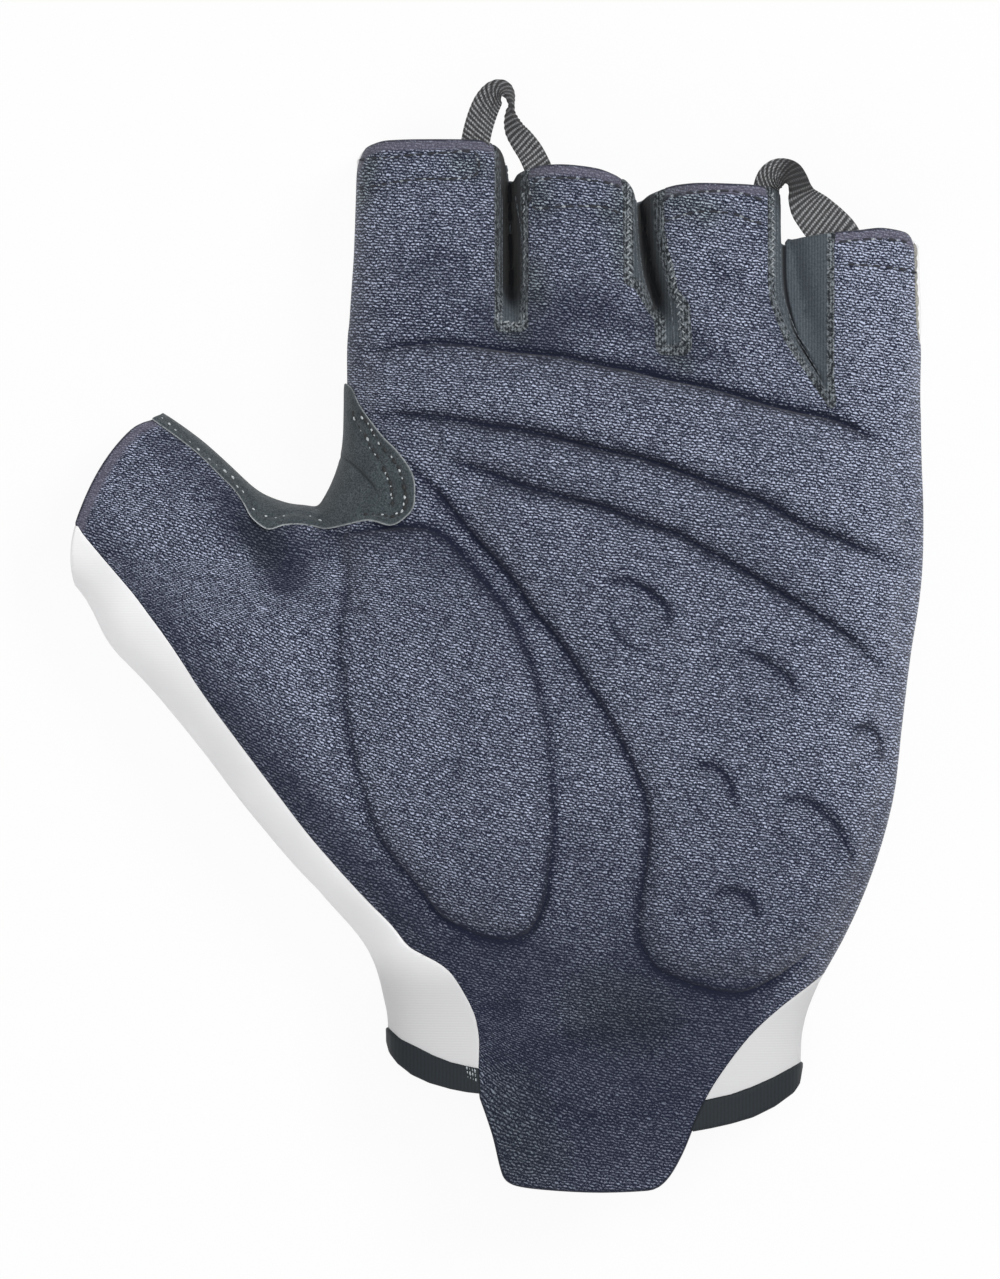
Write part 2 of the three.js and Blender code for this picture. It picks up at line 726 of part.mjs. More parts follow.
const loops = [
  {
    name: 'pull_loop_index_middle',
    ends: [[0, 0.587], [1, -0.574]],
    pathShares: [
      [0, 0, 0, 0], [-0.06, 0.29, 0.02, 5], [-0.087, 0.546, 0.05, 14], [-0.034, 0.769, 0.09, 30],
      [0.12, 0.835, 0.13, 54], [0.26, 0.746, 0.13, 76], [0.337, 0.53, 0.1, 60],
      [0.538, 0.333, 0.05, 34], [0.77, 0.185, 0.02, 12], [1, 0, 0, 0],
    ],
  },
  {
    name: 'pull_loop_ring_little',
    ends: [[2, 0.8], [3, -0.236]],
    pathShares: [
      [0, 0, 0, 0], [-0.06, 0.1, 0.02, 6], [-0.05, 0.22, 0.05, 16], [0.03, 0.31, 0.1, 34],
      [0.166, 0.328, 0.13, 56], [0.312, 0.248, 0.12, 68], [0.449, 0.127, 0.08, 46],
      [0.66, 0.09, 0.04, 22], [0.87, 0.1, 0.01, 8], [1, 0, 0, 0],
    ],
  },
];

// Sewn end of a loop: just beyond the mouth of a stall, under its front
function sewnEnd([index, s]) {
  const stall = stalls[index];
  const side = along(place(stall.root), direction(stall.lean), (s * stall.width) / 2);
  const reach = stall.length - cornerDrop(stall, s) + loopClearance;
  const at = along(side, direction(90 + stall.lean), reach);
  const depth = stallDepthShares[stallStationShares.indexOf(1)] * fingerDepth;
  const rise = (1 - Math.abs(s) ** archPower) ** (1 / archPower);
  const front = sideSeamHeight + (depth - sideSeamHeight) * rise;
  return new THREE.Vector3(at.x, at.y, front - palmThickness - webbingThickness / 2);
}

function loopForm({ ends, pathShares }) {
  const [from, to] = ends.map(sewnEnd);
  const span = to.clone().sub(from);
  const out = new THREE.Vector3(-span.y, span.x, 0).setLength(span.length());
  const up = new THREE.Vector3(0, 0, span.length());
  const path = new THREE.CatmullRomCurve3(pathShares.map(([a, b, c]) =>
    from.clone().addScaledVector(span, a).addScaledVector(out, b).addScaledVector(up, c)));
  const rings = [];
  for (let i = 0; i <= ribbonRings; i++) {
    const t = i / ribbonRings;
    const turn = rowAt(pathShares, t)[3];
    const heading = path.getTangent(t);
    const wide = new THREE.Vector3(heading.y, -heading.x, 0).normalize();
    wide.applyAxisAngle(heading, degrees(turn));
    const thick = wide.clone().cross(heading).normalize();
    rings.push([[-1, -1], [1, -1], [1, 1], [-1, 1]].map(([w, h]) => path.getPoint(t)
      .addScaledVector(wide, (w * webbingWidth) / 2)
      .addScaledVector(thick, (h * webbingThickness) / 2)));
  }
  return skin(rings);
}

loops.forEach((loop) => addPiece(loop.name, loopForm(loop), greyWebbing));

// Origin on the floor under the middle of the whole glove

const box = new THREE.Box3().setFromObject(group);
const centre = box.getCenter(new THREE.Vector3());
group.position.set(-centre.x, -centre.y, -box.min.z);

export default group;
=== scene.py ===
# %% [markdown]
# # A fingerless cycling glove as sewn cloth
# The glove lies on its back with the palm up, puffed out as if a hand were in it. The CAD
# model gives the frame and the moving bodies. This script dresses it. A real glove is sewn
# from flat panels and takes its form from the hand. Here the hand form comes first, and every
# panel is cut from that one skin, so that neighbours meet along their seams. Then each panel
# gets its thickness, relief, thread and weave.

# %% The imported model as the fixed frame
import json
import math
import bpy
import numpy as np
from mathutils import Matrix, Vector
from mathutils.bvhtree import BVHTree


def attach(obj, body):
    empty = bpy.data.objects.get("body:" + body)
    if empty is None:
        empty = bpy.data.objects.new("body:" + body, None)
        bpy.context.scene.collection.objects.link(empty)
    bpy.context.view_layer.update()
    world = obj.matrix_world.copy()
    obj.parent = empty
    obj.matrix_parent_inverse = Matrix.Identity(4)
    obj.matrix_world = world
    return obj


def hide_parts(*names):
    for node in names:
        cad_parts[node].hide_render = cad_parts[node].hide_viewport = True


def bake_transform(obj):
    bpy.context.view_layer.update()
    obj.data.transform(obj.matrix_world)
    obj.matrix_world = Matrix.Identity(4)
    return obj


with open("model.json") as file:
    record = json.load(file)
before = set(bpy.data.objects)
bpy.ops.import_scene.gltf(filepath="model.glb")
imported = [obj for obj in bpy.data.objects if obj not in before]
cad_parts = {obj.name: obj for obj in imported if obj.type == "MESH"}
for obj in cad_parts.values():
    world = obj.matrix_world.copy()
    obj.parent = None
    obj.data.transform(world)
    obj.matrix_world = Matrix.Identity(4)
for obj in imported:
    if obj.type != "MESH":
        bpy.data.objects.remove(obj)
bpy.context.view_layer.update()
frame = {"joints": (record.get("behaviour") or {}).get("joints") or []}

# %% [markdown]
# ## Places on the photograph
# Lengths are in millimetres, as CAD drawings have them, and become metres when a mesh is made.
# The photograph looks straight down on the palm at 6 pixels per millimetre, so a pixel gives
# a place in plan. The seams and the outlines of the panels are paths of such pixels. The
# tubes of the hand form and the pads keep the CAD model's own shares of palm width and length.

# %% Pixels and shares to plan places
MM = 0.001
PER_MM = np.array([6, -6])               # pixels in a millimetre, to the right and upwards
CENTRE = np.array([495, 637.5])          # the pixel that the CAD model was drawn round
SHIFT = np.array([-0.294, -0.4673])      # how far the part was centred on its box
PALM_WIDTH, PALM_LENGTH = 97.0, 128.5


def px(points):
    return (np.asarray(points, float) - CENTRE) / PER_MM + SHIFT


def pixels(plan):
    return (plan - SHIFT) * PER_MM + CENTRE


def place(shares):
    return np.asarray(shares, float) * [PALM_WIDTH, PALM_LENGTH] + SHIFT


print("middle of the photograph", px((500, 639.5)).round(2))


# %% Smooth lines, and short names for what comes often
def unit(value):
    return np.clip(value, 0, 1)


def bell(distance, width):
    """1 at no distance, falling to almost nothing at twice the width."""
    return np.exp(-(distance / width) ** 2)


def rows_at(rows, t):
    """Smooth rows of a table at shares t from 0 to 1 (Catmull-Rom)."""
    rows = np.asarray(rows, float)
    at = unit(t) * (len(rows) - 1)
    first = np.clip(at.astype(int), 0, len(rows) - 2)
    w = (at - first)[:, None]
    a, b, c, d = (rows[np.clip(first + k, 0, len(rows) - 1)] for k in (-1, 0, 1, 2))
    return b + ((c - a) * w + (2 * a - 5 * b + 4 * c - d) * w ** 2
                + (3 * (b - c) + d - a) * w ** 3) / 2


def curve(points, step=0.8):
    """Smooth line through places, in even steps."""
    points = np.asarray(points, float)
    dense = rows_at(points, np.linspace(0, 1, 24 * len(points)))
    run = np.r_[0, np.cumsum(np.linalg.norm(np.diff(dense, axis=0), axis=1))]
    at = np.linspace(0, run[-1], max(int(run[-1] / step), 2) + 1)
    return np.stack([np.interp(at, run, dense[:, k]) for k in range(dense.shape[1])], -1)


def drawn(path, step=0.8):
    """The smooth line in plan through a path of pixels."""
    return curve(px(path), step)


def ahead(degrees):
    a = math.radians(degrees)
    return np.array([math.cos(a), math.sin(a)])


# %% [markdown]
# ## The hand form
# A glove that keeps its form is a set of tubes: palm, thumb and four finger stalls. Each
# tube is a loft of sections, flat where it lies on its back and arched above. The tubes are
# merged into one skin, and the skin is relaxed so that the tubes flow into each other the
# way stretched cloth does. A cloth simulation over a hand would give the same calm form with
# folds at random places; the photograph shows few folds, and those are drawn later.

# %% Measures of the tubes
SEAM = 8.6                    # height of the side seam
ARCH = 2.6                    # power of the arch: 2 is an ellipse, more is squarer
WRIST_WIDTH, PALM_DEPTH, WRIST_DEPTH, FINGER_DEPTH = 68.8, 24.5, 20.5, 18.5
THUMB_WIDTH, THUMB_DEPTH, THUMB_ROOT_DEPTH, THUMB_ANGLE = 32.4, 16.0, 23.0, -112.3
CUFF_LIFT = 1.1
STALLS = [                     # root in shares, degrees of lean, and widths at the stations
    dict(root=(-0.111, 0.398), lean=-0.6, width=25.0, length=32.0,
         widths=(0.95, 1.07, 1.03, 1.01, 1, 1)),
    dict(root=(0.164, 0.379), lean=5.9, width=20.9, length=30.2,
         widths=(1, 1.23, 1.09, 1.03, 1, 1)),
    dict(root=(0.428, 0.344), lean=10.4, width=23.9, length=31.9,
         widths=(0.86, 1.03, 1.01, 1, 1, 1)),
    dict(root=(0.645, 0.308), lean=6.9, width=22.6, length=28.5,
         widths=(0.64, 0.74, 0.88, 0.96, 1, 1)),
]
STALL_STATIONS = [-0.4, 0, 0.4, 0.75, 1, 1.16]
STALL_DEPTHS = [0.92, 1.06, 1.02, 1, 0.97, 0.96]
PALM_ROWS = [                  # middle in shares, width, degrees of tilt, depth, lift
    (0.241, 0.364, 0.995, -9.6, 0.45, 0), (0.241, 0.348, 0.997, -9.7, 0.76, 0),
    (0.239, 0.311, 1.0, -9.5, 0.9, 0), (0.24, 0.224, 1.009, -10.6, 0.96, 0),
    (0.231, 0.139, 1.023, -11.4, 0.99, 0), (0.199, 0.049, 1.055, -11.3, 1, 0),
    (0.159, -0.052, 1.092, -10.4, 1, 0), (0.133, -0.152, 1.102, -8.1, 1, 0),
    (0.124, -0.256, 1.055, -6.5, 0.98, 0),
]
WRIST_ROWS = [
    (0.143, -0.35, 1.305, -5.9, 1.13, 0.25), (0.166, -0.425, 1.102, -5, 1.07, 0.7),
    (0.17, -0.486, 1.019, -3.4, 1.02, 1), (0.171, -0.548, 1, -2.8, 1, 1),
    (0.17, -0.77, 0.99, -2.1, 0.98, 1),
]
THUMB_ROWS = [                 # right corner in shares, width, share of the root's depth
    (-0.662, 0.327, 0.93, -0.06), (-0.584, 0.291, 1, 0), (-0.515, 0.252, 1.11, 0.2),
    (-0.414, 0.195, 1.21, 0.48), (-0.332, 0.168, 1.35, 0.75), (-0.232, 0.12, 1.49, 0.95),
    (-0.112, 0.036, 1.545, 0.92), (-0.026, -0.068, 1.36, 0.5),
]


# %% Rings of points for each tube
def section(left, right, depth, lift, sides=120):
    """A ring that is flat below the side seam and arched above it."""
    a = np.linspace(0, 2 * np.pi, sides, endpoint=False)
    side = np.sign(np.cos(a)) * np.abs(np.cos(a)) ** (2 / ARCH)
    rise = np.abs(np.sin(a)) ** (2 / ARCH)
    low = np.maximum(lift, SEAM - (SEAM - lift + 0.5) * rise)
    z = np.where(np.sin(a) >= 0, SEAM + (depth - SEAM) * rise, low)
    xy = (left + right) / 2 + np.outer(side, (right - left) / 2)
    return np.column_stack([xy, z])


def palm_rings():
    table = [(x, y, w * PALM_WIDTH / 2, tilt, d * PALM_DEPTH, 0)
             for x, y, w, tilt, d, _ in PALM_ROWS]
    table += [(x, y, w * WRIST_WIDTH / 2, tilt, d * WRIST_DEPTH, lift * CUFF_LIFT)
              for x, y, w, tilt, d, lift in WRIST_ROWS]
    rings = []
    for x, y, half, tilt, depth, lift in rows_at(table, np.linspace(0, 1, 110)):
        middle, across = place((x, y)), ahead(tilt)
        half = across * half
        rings.append(section(middle - half, middle + half, depth, max(lift, 0), 200))
    return rings


def thumb_rings():
    rings = []
    for x, y, w, d in rows_at(THUMB_ROWS, np.linspace(0, 1, 70)):
        right = place((x, y))
        left = right + ahead(THUMB_ANGLE) * w * THUMB_WIDTH
        rings.append(section(left, right, THUMB_DEPTH + (THUMB_ROOT_DEPTH - THUMB_DEPTH) * d, 0))
    return rings


def stall_rings(stall):
    table = np.column_stack([STALL_STATIONS, stall["widths"], STALL_DEPTHS])
    root, across, forward = place(stall["root"]), ahead(stall["lean"]), ahead(90 + stall["lean"])
    rings = []
    for share, w, d in rows_at(table, np.linspace(0, 1, 50)):
        middle = root + forward * share * stall["length"]
        half = across * w * stall["width"] / 2
        rings.append(section(middle - half, middle + half, d * FINGER_DEPTH, 0))
    return rings


# %% Meshes from points and back
def mesh_object(name, points, faces, material=None):
    mesh = bpy.data.meshes.new(name)
    mesh.from_pydata((np.asarray(points) * MM).tolist(), [], faces)
    mesh.polygons.foreach_set("use_smooth", np.ones(len(mesh.polygons), bool))
    if material:
        mesh.materials.append(material)
    obj = bpy.data.objects.new(name, mesh)
    bpy.context.scene.collection.objects.link(obj)
    return obj


def read(items, key, size=3, kind=float):
    """What every item of a mesh has under a key, in rows of a size."""
    values = np.empty(len(items) * size, kind)
    items.foreach_get(key, values)
    return values.reshape(-1, size)


def ring_faces(count, sides):
    """Quads between neighbouring rings of points."""
    return [(r * sides + i, r * sides + (i + 1) % sides, (r + 1) * sides + (i + 1) % sides,
             (r + 1) * sides + i) for r in range(count - 1) for i in range(sides)]


def tube_object(rings):
    count, sides = len(rings), len(rings[0])
    ends = [tuple(range(sides)), tuple(range((count - 1) * sides, count * sides))]
    return mesh_object("tube", np.concatenate(rings), ring_faces(count, sides) + ends)


# %% [markdown]
# The tubes are joined into one object, and Remesh wraps it in one even skin of small squares.
# A boolean union would keep a hard crease where tubes meet; cloth has none. Relaxing first
# inwards and then outwards smooths the skin without shrinking it.

# %% One relaxed skin around all tubes
def merged_skin(voxel):
    tubes = [tube_object(r) for r in [palm_rings(), thumb_rings(), *map(stall_rings, STALLS)]]
    with bpy.context.temp_override(active_object=tubes[0], selected_editable_objects=tubes):
        bpy.ops.object.join()
    whole = tubes[0]
    remesh = whole.modifiers.new("skin", "REMESH")
    remesh.mode, remesh.voxel_size = "VOXEL", voxel * MM
    evaluated = whole.evaluated_get(bpy.context.evaluated_depsgraph_get())
    mesh = bpy.data.meshes.new_from_object(evaluated)
    mesh.calc_loop_triangles()
    points, tris = read(mesh.vertices, "co"), read(mesh.loop_triangles, "vertices", kind=int)
    bpy.data.objects.remove(whole)
    bpy.data.meshes.remove(mesh)
    return points / MM, tris


def edges_of(tris):
    return np.concatenate([tris[:, [0, 1]], tris[:, [1, 2]], tris[:, [2, 0]]])


def relaxed(points, tris, rounds, factors):
    """Moves each point towards the mean of its neighbours, once for each factor in a round."""
    a, b = edges_of(tris).T              # an edge has two sides, so it comes in both directions
    degree = np.maximum(np.bincount(a, minlength=len(points)), 1)
    points = points.copy()
    for factor in list(factors) * rounds:
        for k in range(3):
            mean = np.bincount(a, points[b, k], len(points)) / degree
            points[:, k] += factor * (mean - points[:, k])
    return points


def normals_of(points, tris):
    a, b, c = (points[tris[:, k]] for k in range(3))
    face = np.cross(b - a, c - a)
    total = np.zeros_like(points)
    for k in range(3):
        np.add.at(total, tris[:, k], face)
    return total / np.maximum(np.linalg.norm(total, axis=1, keepdims=True), 1e-12)


# %% [markdown]
# The roots of the fingers are relaxed once more, because the palm's cloth runs over them in
# one sweep. Then a few seams pull the skin: beside the thumb's fork it is drawn in towards
# the stitching, and the little finger's side swells between two seams.

# %% Knuckles, pulls, and the finished skins
def near_roots(points):
    """1 along the knuckle line, where the stalls leave the palm, fading out around it."""
    knuckles = place([(0.24, 0.335)])[0]
    across = (points[:, :2] - knuckles) @ ahead(90 - 9.6)
    return bell(across, 9) * unit((points[:, 2] - SEAM - 2) / 4)


PULLS = [                      # pixel, shift and reach in mm
    ((264, 490), (-0.25, -0.75), 5.0), ((292, 500), (-0.2, -0.5), 3.5), ((317, 514), (0, 0.9), 3.0),
    ((195, 436), (0.25, 0.4), 7), ((338, 450), (0.5, 0), 7),
    ((912, 650), (-0.35, 0), 10), ((893, 800), (0.45, -0.15), 11), ((845, 945), (-0.15, 0.1), 6),
    ((108, 648), (-0.5, -0.45), 6),
]


def pulled(points):
    for centre, shift, reach in PULLS:
        weight = np.exp(-((points[:, :2] - px(centre)) ** 2).sum(1) / reach ** 2)
        points[:, :2] += weight[:, None] * shift
    return points


def skin(voxel, rounds):
    points, tris = merged_skin(voxel)
    points = relaxed(points, tris, rounds, (0.5, -0.52))      # in, then out: it doesn't shrink
    part = near_roots(points) > 0.01
    there = np.flatnonzero(part[tris].any(1))
    used, local = np.unique(tris[there], return_inverse=True)
    soft = 0.7 * near_roots(points[used]) * part[used]
    points[used] = relaxed(points[used], local.reshape(-1, 3), int(60 / voxel ** 2), (soft,))
    points[:, 2] = np.maximum(points[:, 2], 0)
    points = pulled(points)
    return np.column_stack([points, normals_of(points, tris)]), tris


FINE = skin(0.75, 40)          # for what is seen
COARSE = skin(1.6, 10)         # for the lining and the foam under it
print("skin triangles", len(FINE[1]), "and coarse", len(COARSE[1]))

# %% [markdown]
# ## Cutting and thickening
# A panel is cut from the skin along a smooth line, as scissors would, by splitting the
# triangles that the line crosses. It then gets two faces and a rounded rim, because real
# cloth is a millimetre thick and turned at its edge; a bare surface would look like paper.
# Every piece of the glove is made by these two steps.

# %% Cut the skin where a field changes sign
def cut(cloth, field):
    """Keeps the part of the cloth where field is negative."""
    points, tris = cloth
    keep = field <= 0
    inside = keep[tris].sum(1)
    part = tris[(inside == 1) | (inside == 2)]
    count = keep[part].sum(1)
    odd = np.where(count == 1, np.argmax(keep[part], 1), np.argmin(keep[part], 1))
    order = (odd[:, None] + np.arange(3)) % 3
    a, b, c = np.take_along_axis(part, order, 1).T
    crossed = np.sort(np.concatenate([np.stack([a, b], 1), np.stack([a, c], 1)]), 1)
    keys, place_in = np.unique(crossed, axis=0, return_inverse=True)
    p, q = keys.T
    w = (field[p] / (field[p] - field[q]))[:, None]
    fresh = points[p] * (1 - w) + points[q] * w
    ab, ac = place_in.reshape(2, -1) + len(points)
    one = count == 1
    new = np.concatenate([np.stack([a, ab, ac], 1)[one], np.stack([b, c, ab], 1)[~one],
                          np.stack([c, ac, ab], 1)[~one]])
    tris = np.concatenate([tris[inside == 3], new])
    points = np.concatenate([points, fresh])
    used, tris = np.unique(tris, return_inverse=True)
    return points[used], tris.reshape(-1, 3)


# %% Smaller triangles where a seam or groove needs them
def spun(rows, first):
    """Rows of three, turned so that each starts at its own first."""
    return np.take_along_axis(rows, (first[:, None] + np.arange(3)) % 3, 1)


def refined(cloth, wanted):
    """Halves every side whose two ends are wanted. Sides on the border stay whole."""
    points, tris = cloth
    count = len(points)
    sides = np.sort(edges_of(tris), 1) @ [count, 1]
    keys, places, times = np.unique(sides, return_inverse=True, return_counts=True)
    a, b = keys // count, keys % count
    halve = (times == 2) & wanted[a] & wanted[b]
    number = np.where(halve, count + np.cumsum(halve) - 1, -1)
    mids = number[places].reshape(3, -1).T
    halved = (mids >= 0).sum(1)
    new = [tris[halved == 0]]
    one = halved == 1
    first = np.argmax(mids[one] >= 0, 1)
    (p, q, r), m = spun(tris[one], first).T, spun(mids[one], first)[:, 0]
    new += [np.stack([p, m, r], 1), np.stack([m, q, r], 1)]
    two = halved == 2
    first = np.argmin(mids[two] >= 0, 1) + 1
    (p, q, r), (m, k, _) = spun(tris[two], first).T, spun(mids[two], first).T
    new += [np.stack([m, q, k], 1), np.stack([p, m, k], 1), np.stack([p, k, r], 1)]
    (p, q, r), (m, k, j) = tris[halved == 3].T, mids[halved == 3].T
    new += [np.stack(c, 1) for c in ((p, m, j), (m, q, k), (j, k, r), (m, k, j))]
    return np.concatenate([points, (points[a[halve]] + points[b[halve]]) / 2]), np.concatenate(new)


# %% Distances in plan
def line_distance(xy, line, reach=14.0):
    """Distance to an open line, up to reach, and how far along it from 0 to 1."""
    best = np.full(len(xy), float(reach))
    share = np.zeros(len(xy))
    count = len(line) - 1
    for first in range(0, count, 8):
        part = line[first:first + 9]
        near = np.flatnonzero(((xy > part.min(0) - reach) & (xy < part.max(0) + reach)).all(1))
        at = xy[near]
        for i, (a, b) in enumerate(zip(part[:-1], part[1:]), first):
            d = b - a
            t = unit(((at - a) @ d) / max(d @ d, 1e-9))
            gap = np.hypot(*(at - a - t[:, None] * d).T)
            closer = gap < best[near]
            best[near[closer]] = gap[closer]
            share[near[closer]] = (i + t[closer]) / count
    return best, share


def outline_field(xy, outline):
    """Distance to a closed outline, negative inside."""
    loop = np.vstack([outline, outline[:1]])
    odd = np.zeros(len(xy), bool)
    for a, b in zip(loop[:-1], loop[1:]):
        if a[1] != b[1]:
            crosses = (a[1] > xy[:, 1]) != (b[1] > xy[:, 1])
            meets = (b[0] - a[0]) * (xy[:, 1] - a[1]) / (b[1] - a[1]) + a[0]
            odd ^= crosses & (xy[:, 0] < meets)
    return np.where(odd, -1, 1) * line_distance(xy, loop)[0]


def nearest(xy, lines):
    return np.min([line_distance(xy, line, 4)[0] for line in lines], 0)


# %% Two faces and a rounded rim
def thicken(cloth, top, bottom, bulge=0.8, steps=3, under=None):
    """Closed solid between two heights over the cloth, with a rounded rim.

    The underside may keep the triangles that the cloth had before it was refined.
    """
    (data, tris), count = cloth, len(cloth[0])
    under = tris if under is None else under
    low_count = under.max() + 1
    points, normals = data[:, :3], data[:, 3:6]
    normals = normals / np.linalg.norm(normals, axis=1, keepdims=True)
    top, bottom = (np.broadcast_to(h, count)[:, None] for h in (top, bottom))
    sides = edges_of(under)
    keys, times = np.unique(np.sort(sides, 1) @ [count, 1], return_counts=True)
    rim = sides[np.isin(np.sort(sides, 1) @ [count, 1], keys[times == 1])]
    a, b = rim.T
    way = points[b] - points[a]
    out = np.zeros_like(points)
    for k in (a, b):
        np.add.at(out, k, np.cross(way, normals[k]))
    out /= np.maximum(np.linalg.norm(out, axis=1, keepdims=True), 1e-9)
    edge = np.unique(rim)
    where = np.zeros(count, int)
    where[edge] = np.arange(len(edge))
    half = (top - bottom) / 2
    middle = points + normals * (top + bottom) / 2
    layers = [points + normals * top, (points + normals * bottom)[:low_count]]
    ids = [np.arange(count)]
    for j in range(1, steps + 1):
        turn = math.pi * j / (steps + 1)
        ring = middle + normals * half * math.cos(turn) + out * half * bulge * math.sin(turn)
        layers.append(ring[edge])
        ids.append(count + low_count + (j - 1) * len(edge) + where)
    ids.append(np.arange(count) + count)
    faces = tris.tolist() + (under[:, ::-1] + count).tolist()
    for upper, lower in zip(ids[:-1], ids[1:]):
        faces += np.stack([upper[b], upper[a], lower[a], lower[b]], 1).tolist()
    return np.concatenate(layers), faces


# %% [markdown]
# ## Plan outlines
# The palm knit covers the front of the fingers and thumb and ends below the cuff in a tab.
# Strips of dark mesh, the fourchettes, fill the sides between the fingers. All the rest is
# white stretch cloth. The seams are drawn as pixel paths on the photograph, a point wherever
# the line bends, and a smooth curve runs through them.

# %% Outlines of the panels
WHITE_EDGE = [    # pixels, all of these: the palm's edge beside the thumb
    (40, 478), (76, 526), (96.9, 552), (115.7, 574), (134.3, 596), (150.7, 618), (166.8, 640),
    (181.6, 662), (195.7, 684), (211, 706), (227.3, 728), (243.7, 750), (260.2, 772), (276.8, 794),
    (293.4, 816), (310.6, 838), (329.6, 860), (349, 882), (369.2, 904), (390, 925.5), (406, 946),
    (421, 955), (437, 963), (450, 973.5), (462.5, 992.5), (470.5, 1008), (475.5, 1022), (478, 1040),
    (477, 1066), (479.5, 1096)]
TAB_EDGE = [    # round the tab
    (479.5, 1096), (492, 1131.7), (500, 1164.9), (506, 1178.5), (521.8, 1185), (560, 1189),
    (600, 1190.5), (640, 1189), (656, 1186), (669, 1174), (682, 1151), (691, 1129.4)]
HEEL_EDGE = [    # from the tab up to the little finger's side
    (691, 1129.4), (704, 1101), (720, 1074), (749, 1036.5), (779.5, 1009), (821, 978.5), (861, 950)]
FOURCHETTES = {    # pixels, with the seam strips beside the slots
    "index_middle": [(496, 80), (495.5, 150), (495.5, 327), (500, 331), (522, 331), (527, 327),
        (527.5, 215), (527, 80)],
    "middle_ring": [(624, 80), (624, 284), (635, 289), (642, 301), (649, 312), (656, 322), (657, 350),
        (662, 354), (684, 354), (688, 349), (688, 306), (676, 290), (672, 268), (666, 248), (663, 228),
        (662, 200), (662, 80)],
    "ring_little": [(768, 80), (768, 286), (770, 303), (776, 319), (784, 341), (794, 357), (808, 377),
        (822, 397), (830, 407), (833, 405), (832, 380), (832, 80)],
}
FORK = [    # pixels, the pale edge and then the open side
    (138, 409), (149, 417), (158, 424), (180, 440), (200, 456), (220, 476), (234, 490), (244, 504),
    (252, 518), (264, 528), (272, 530), (284, 526), (300, 525), (314, 527), (326, 529.5), (344, 526),
    (366, 521), (376, 522), (392, 526), (406, 518), (414, 508), (415.5, 494), (414.5, 480), (409, 467),
    (396, 450), (384, 438), (370, 420), (360, 405), (350, 386), (330, 380), (310, 390), (290, 430),
    (215, 415), (180, 395), (150, 395)]
PADS = {
    "knuckle_pad": ([(-0.211, 0.357), (-0.091, 0.37), (0.05, 0.36), (0.189, 0.342), (0.32, 0.322),
        (0.459, 0.294), (0.572, 0.273), (0.668, 0.241)], [(-0.201, 0.299), (-0.091, 0.298),
        (0.05, 0.281), (0.189, 0.255), (0.32, 0.228), (0.459, 0.189), (0.6, 0.138), (0.696, 0.111)]),
    "metacarpal_pad": ([(-0.105, 0.269), (-0.021, 0.261), (0.119, 0.243), (0.249, 0.22), (0.39, 0.181),
        (0.529, 0.133), (0.627, 0.098), (0.692, 0.075)], [(-0.095, 0.241), (-0.021, 0.229),
        (0.119, 0.194), (0.242, 0.163), (0.361, 0.125), (0.495, 0.068), (0.595, 0.021),
        (0.672, -0.034)]),
    "hypothenar_pad": ([(0.012, 0.191), (0.119, 0.171), (0.311, 0.123), (0.495, 0.042), (0.624, -0.029),
        (0.655, -0.133), (0.627, -0.263), (0.569, -0.369), (0.481, -0.429)], [(-0.005, 0.189),
        (-0.029, 0.147), (0.048, 0.071), (0.115, 0.005), (0.216, -0.115), (0.271, -0.203),
        (0.273, -0.304), (0.266, -0.379), (0.309, -0.426)]),
    "thenar_pad": ([(-0.108, 0.139), (-0.043, 0.085), (0.024, 0.02), (0.055, -0.055), (0.086, -0.133),
        (0.098, -0.224), (0.082, -0.316), (0.05, -0.374)], [(-0.246, 0.132), (-0.253, 0.049),
        (-0.258, -0.042), (-0.246, -0.129), (-0.225, -0.195), (-0.187, -0.265), (-0.132, -0.317),
        (-0.084, -0.356)]),
}
PALM_FRAME = [(1080, -130), (-90, -130), (-90, 478)]       # far corners, off the glove
LITTLE_SIDE = [
    (1080, 950), (960, 640), (940, 520), (940, 400), (930, 356), (920, 340), (918, 325), (916.5, 290),
    (916, 250), (915.5, 235), (915.5, 180)]
palm_outline = np.vstack([*map(drawn, (WHITE_EDGE, TAB_EDGE, HEEL_EDGE)), px(LITTLE_SIDE),
                          px(PALM_FRAME)])
fourchette_outlines = {name: px(path) for name, path in FOURCHETTES.items()}
pad_outlines = {name: np.vstack([curve(place(upper)), curve(place(lower))[::-1]])
                for name, (upper, lower) in PADS.items()}
print("palm outline of", len(palm_outline), "points")

# %% [markdown]
# The mouths are cut straight through both faces of the skin, as the cloth of a glove is cut
# to length before it is hemmed. The thumb's mouth is a shallow bow. The cuff's upper and
# lower edges are kept as paths, for the back and its binding to end on.

# %% Mouths of the stalls and the thumb, and the cuff edge
FINGER_MOUTHS = [    # pixels, along the four mouths and the notches between them
    (320, 185), (345, 172), (355.5, 158), (359, 151.5), (366, 146.5), (380, 142.5), (395, 141.5),
    (415, 141), (461, 141), (487, 142), (496.5, 145.5), (504, 152), (508, 165), (510.5, 182),
    (513, 177), (518, 173), (530, 169), (541, 167), (564, 166), (594, 169), (610, 173), (621, 177.5),
    (629, 183), (634.5, 190), (637, 197), (638.5, 203), (643, 198), (650, 194), (669, 188),
    (685, 185.5), (703, 184.5), (749, 185.5), (765, 187), (776, 189.5), (780.5, 193), (782, 200),
    (782.5, 243.5), (788, 241), (800, 238.5), (812, 236.5), (832, 233.5), (857, 231.5), (880, 229),
    (903, 231.5), (912, 235), (919, 243), (940, 265), (990, 330)]
